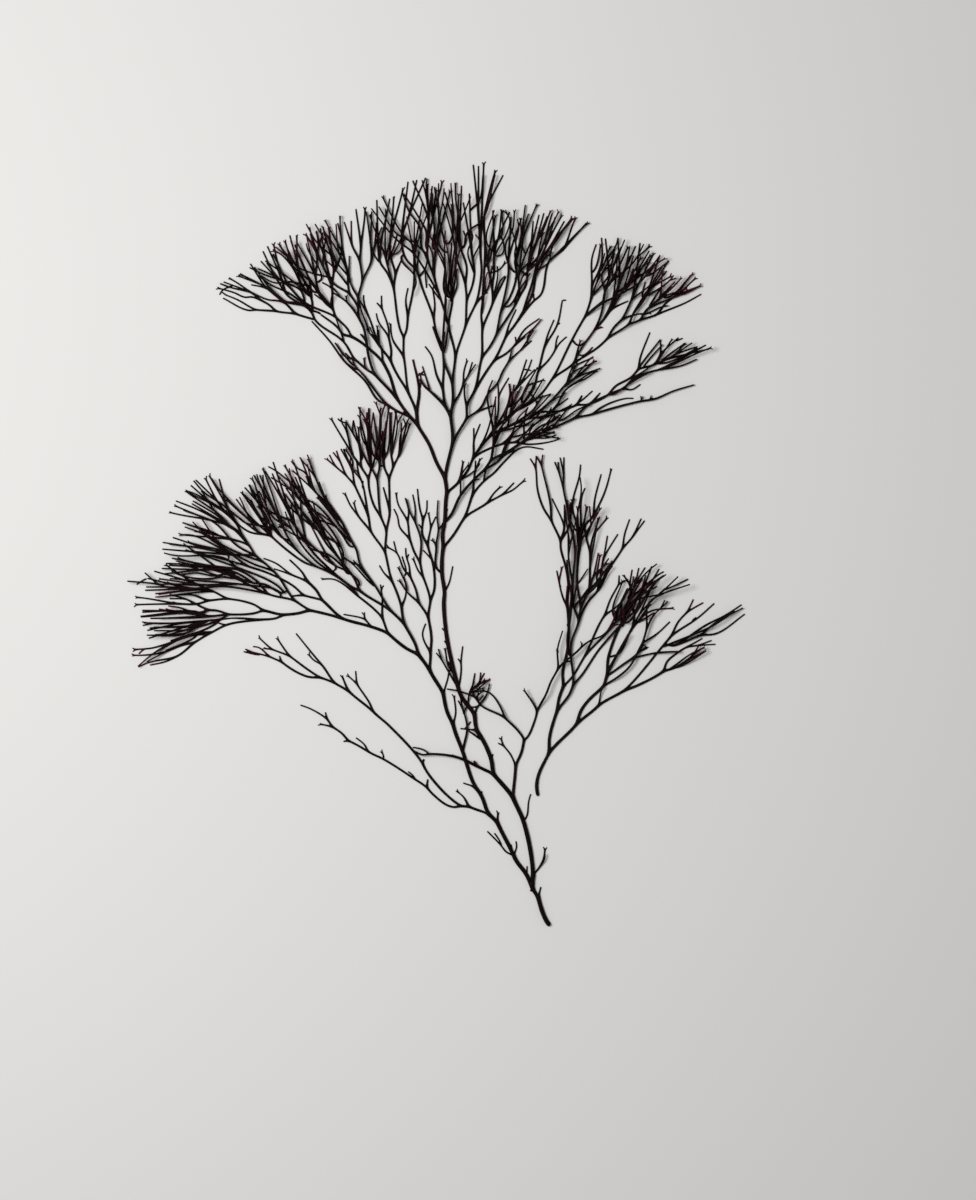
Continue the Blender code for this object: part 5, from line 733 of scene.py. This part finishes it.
def sprouts(fork, ahead):
    """The branches that grow from a fork, from left to right, each with how it leaves."""
    parts = len(fork.grows) > 1
    found = []
    for point in fork.grows:
        way = (point.spot - fork.spot).xy
        direct = way.normalized()
        found.append({
            "point": point,
            "leave": (ahead * (1 - LEAN) + direct * LEAN).normalized() if parts else ahead,
            "length": way.length,
            "clear": 0.0,
            "width": point.width if parts else fork.width,
            "rise": (point.spot.z - fork.spot.z) / max(way.length, SHORTEST),
            "turn": -turn(ahead, direct),
        })
    return sorted(found, key=lambda g: g["turn"])


def stops(g, parts):
    """Shares of the length of a branch at which it has a section, the last one at its end."""
    first = min(CLEAR_SHARE, (g["clear"] + CLEAR_WIDTH * g["width"]) / g["length"]) if parts else 0.0
    steps = max(1, round(g["length"] * (1 - first) / STEP))
    shares = [first + (1 - first) * k / steps for k in range(0 if first else 1, steps + 1)]
    if not g["point"].grows:
        shares.insert(-1, 1 - min(CAP_SHARE, TIP_CAP / g["length"]))
    return shares


def swelling(point):
    """How much wider or narrower the end of a branch is than its run."""
    if len(point.grows) > 1:
        return KNOT
    return 1.0 if point.grows else BLUNT


def skin(cage, root, draw):
    """The tree of forks as a closed cage of four-cornered sections."""
    flow = flows(root)
    reach = reaches(root)
    tone = draw.random()
    mouth = cage.ring(root.spot, root.width, flow[root], reach[root], tone)
    cage.faces.append(mouth[::-1])
    waiting = [(root, mouth, tone)]
    while waiting:
        fork, mouth, tone = waiting.pop()
        if not fork.grows:
            cage.faces.append(mouth)
            continue
        grows = sprouts(fork, flow[fork])
        parts = len(grows) > 1
        left, right, right_top, left_top = mouth
        edge = [left]
        ridge = [left_top]
        for a, b in zip(grows, grows[1:]):
            spot, clear = crotch(fork, a, b)
            a["clear"] = max(a["clear"], clear)
            b["clear"] = max(b["clear"], clear)
            height = Vector((0, 0, (a["width"] + b["width"]) / 2 * THICKNESS * HIGHER))
            edge.append(cage.corner(spot, reach[fork], tone))
            ridge.append(cage.corner(spot + height, reach[fork], tone))
        edge.append(right)
        ridge.append(right_top)
        if parts:
            cage.faces += [edge[::-1], ridge]
        for i, g in enumerate(grows):
            point = g["point"]
            own = tone if i == 0 else draw.random()
            section = [edge[i], edge[i + 1], ridge[i + 1], ridge[i]]
            for t in stops(g, parts):
                spot, way = bend(fork.spot, point.spot, g["leave"], flow[point], t)
                width = g["width"] + (point.width - g["width"]) * t
                width *= 1 + UNEVEN * noise.noise(spot * UNEVEN_SCALE)
                far = reach[fork] + (reach[point] - reach[fork]) * t
                width *= SLIM + (1 - SLIM) * min(1.0, far / SLIM_REACH)
                if t == 1.0:
                    way = flow[point]
                    width *= swelling(point)
                after = cage.ring(spot, width, way, far, own)
                cage.tube(section, after)
                section = after
            waiting.append((point, section, own))


def piece(name, cages, material):
    """The cages as one smooth object."""
    mesh = bpy.data.meshes.new(name)
    verts, faces, reach, tone = [], [], [], []
    for cage in cages:
        first = len(verts)
        verts += [(v + TRUNK_END) * MM for v in cage.verts]
        faces += [[first + i for i in face] for face in cage.faces]
        reach += cage.reach
        tone += cage.tone
    mesh.from_pydata(verts, [], faces)
    for label, values in (("reach", reach), ("tone", tone)):
        mesh.attributes.new(label, "FLOAT", "POINT").data.foreach_set("value", values)
    rough = bpy.data.objects.new(name + "_cage", mesh)
    bpy.context.scene.collection.objects.link(rough)
    subdivide = rough.modifiers.new("smooth", "SUBSURF")
    subdivide.levels = SMOOTHING
    graph = bpy.context.evaluated_depsgraph_get()
    smooth = bpy.data.meshes.new_from_object(rough.evaluated_get(graph))
    bpy.data.objects.remove(rough)
    smooth.name = name
    smooth.polygons.foreach_set("use_smooth", [True] * len(smooth.polygons))
    smooth.materials.clear()
    smooth.materials.append(material)
    obj = bpy.data.objects.new(name, smooth)
    bpy.context.scene.collection.objects.link(obj)
    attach(obj, "root")
    return obj


def weed(name):
    """Dried seaweed: near black, satin and finely grained, redder in patches toward the tips."""
    material = bpy.data.materials.new(name)
    material.use_nodes = True
    nodes, links = material.node_tree.nodes, material.node_tree.links
    shader = nodes["Principled BSDF"]

    def node(kind, **values):
        """A new node with some of its settings and inputs given."""
        made = nodes.new(kind)
        for key, value in values.items():
            if hasattr(made, key):
                setattr(made, key, value)
            else:
                made.inputs[key.replace("_", " ")].default_value = value
        return made

    spot = node("ShaderNodeNewGeometry").outputs["Position"]
    reach = node("ShaderNodeAttribute", attribute_name="reach").outputs["Fac"]
    tone = node("ShaderNodeAttribute", attribute_name="tone").outputs["Fac"]

    patches = node("ShaderNodeTexNoise", Scale=55.0, Detail=3.0)
    links.new(spot, patches.inputs["Vector"])
    tip = node("ShaderNodeMapRange", From_Min=0.0, From_Max=9.0, To_Min=1.0, To_Max=0.0)
    links.new(reach, tip.inputs["Value"])
    patch = node("ShaderNodeMapRange", From_Min=0.48, From_Max=0.65)
    links.new(patches.outputs["Fac"], patch.inputs["Value"])
    red = node("ShaderNodeMath", operation="MULTIPLY")
    links.new(tip.outputs["Result"], red.inputs[0])
    links.new(patch.outputs["Result"], red.inputs[1])

    shade = node("ShaderNodeMix", data_type="RGBA")
    shade.inputs[FIRST].default_value = BLACK
    shade.inputs[SECOND].default_value = BROWN
    links.new(tone, shade.inputs[0])
    maroon = node("ShaderNodeMix", data_type="RGBA")
    maroon.inputs[SECOND].default_value = MAROON
    links.new(shade.outputs[MIXED], maroon.inputs[FIRST])
    links.new(red.outputs[0], maroon.inputs[0])

    grain = node("ShaderNodeTexNoise", Scale=2600.0, Detail=4.0, Roughness=0.6)
    links.new(spot, grain.inputs["Vector"])
    dull = node("ShaderNodeMapRange", From_Min=0.3, From_Max=0.7, To_Min=0.38, To_Max=0.62)
    links.new(grain.outputs["Fac"], dull.inputs["Value"])
    links.new(dull.outputs["Result"], shader.inputs["Roughness"])
    relief = node("ShaderNodeBump", Strength=0.25, Distance=0.00005)
    links.new(grain.outputs["Fac"], relief.inputs["Height"])
    links.new(relief.outputs["Normal"], shader.inputs["Normal"])
    links.new(maroon.outputs[MIXED], shader.inputs["Base Color"])
    shader.inputs["Specular IOR Level"].default_value = 0.05
    return material


# Floor, light and camera, in metres.
FLOOR = 3
VIEW_WIDTH = 0.3744
VIEW_CENTRE = (0.01976, -0.0208)
CAMERA_HEIGHT = 1.5
SENSOR = 36.0


def stage():
    """A plain pale floor, soft light from the upper left and a camera straight above."""
    mesh = bpy.data.meshes.new("floor")
    corners = [(-FLOOR, -FLOOR, 0), (FLOOR, -FLOOR, 0), (FLOOR, FLOOR, 0), (-FLOOR, FLOOR, 0)]
    mesh.from_pydata(corners, [], [(0, 1, 2, 3)])
    floor = bpy.data.objects.new("floor", mesh)
    bpy.context.scene.collection.objects.link(floor)
    paper = bpy.data.materials.new("pale_floor")
    paper.use_nodes = True
    shader = paper.node_tree.nodes["Principled BSDF"]
    shader.inputs["Base Color"].default_value = (0.78, 0.775, 0.765, 1)
    shader.inputs["Roughness"].default_value = 0.9
    shader.inputs["Specular IOR Level"].default_value = 0.1
    mesh.materials.append(paper)
    floor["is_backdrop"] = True

    world = bpy.data.worlds.new("studio")
    bpy.context.scene.world = world
    world.use_nodes = True
    backdrop = world.node_tree.nodes["Background"]
    backdrop.inputs["Color"].default_value = (0.98, 0.985, 1.0, 1)
    backdrop.inputs["Strength"].default_value = 0.31

    lamp = bpy.data.lights.new("window", "AREA")
    lamp.shape = "RECTANGLE"
    lamp.size = 0.4
    lamp.size_y = 0.4
    lamp.energy = 6.2
    lamp.color = (1.0, 0.99, 0.97)
    window = bpy.data.objects.new("window", lamp)
    window.location = (-0.42, 0.12, 0.8)
    window.rotation_euler = (Vector((0, 0, 0)) - window.location).to_track_quat("-Z", "Y").to_euler()
    bpy.context.scene.collection.objects.link(window)

    lens = bpy.data.cameras.new("camera")
    lens.sensor_fit = "HORIZONTAL"
    lens.sensor_width = SENSOR
    lens.lens = SENSOR * CAMERA_HEIGHT / VIEW_WIDTH
    lens.clip_end = 10
    camera = bpy.data.objects.new("camera", lens)
    camera.location = (*VIEW_CENTRE, CAMERA_HEIGHT)
    bpy.context.scene.collection.objects.link(camera)
    bpy.context.scene.camera = camera
    bpy.context.scene.view_settings.view_transform = "Standard"


draw = random.Random(SEED)
crowd = {}
plant = grown([frond for frond in PLAN if not frond.startswith(("side", "strands"))], draw, crowd)
strands = strewn("strands", crowd)
side_crowd = {}
broken = grown(["side_branch"], draw, side_crowd) + strewn("side_strands", side_crowd)
fine = strewn("fine", crowd, ROOT_BACK)
fine_broken = strewn("fine_side", side_crowd, ROOT_BACK)
buds = random.Random(SEED + 2)
for trees in (plant, strands, broken, fine, fine_broken):
    budded(trees, buds)
tones = random.Random(SEED + 1)


def dressed(name, trees, node, material):
    """One piece made of some trees, in place of a node of the frame."""
    cages = []
    for tree in trees:
        cage = Cage()
        skin(cage, tree, tones)
        cages.append(cage)
    obj = piece(name, cages, material)
    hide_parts(node)


skin_look = weed("dried_seaweed")
dressed("seaweed_main", plant[:1], "thallus", skin_look)
dressed("seaweed_over", plant[1:] + strands, "thallus", skin_look)
dressed("seaweed_fine", fine, "thallus", skin_look)
dressed("broken_branch", broken, "side_branch", skin_look)
dressed("broken_fine", fine_broken, "side_branch", skin_look)
stage()

[[list(corner) for corner in box] for box in (cad_box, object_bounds())]
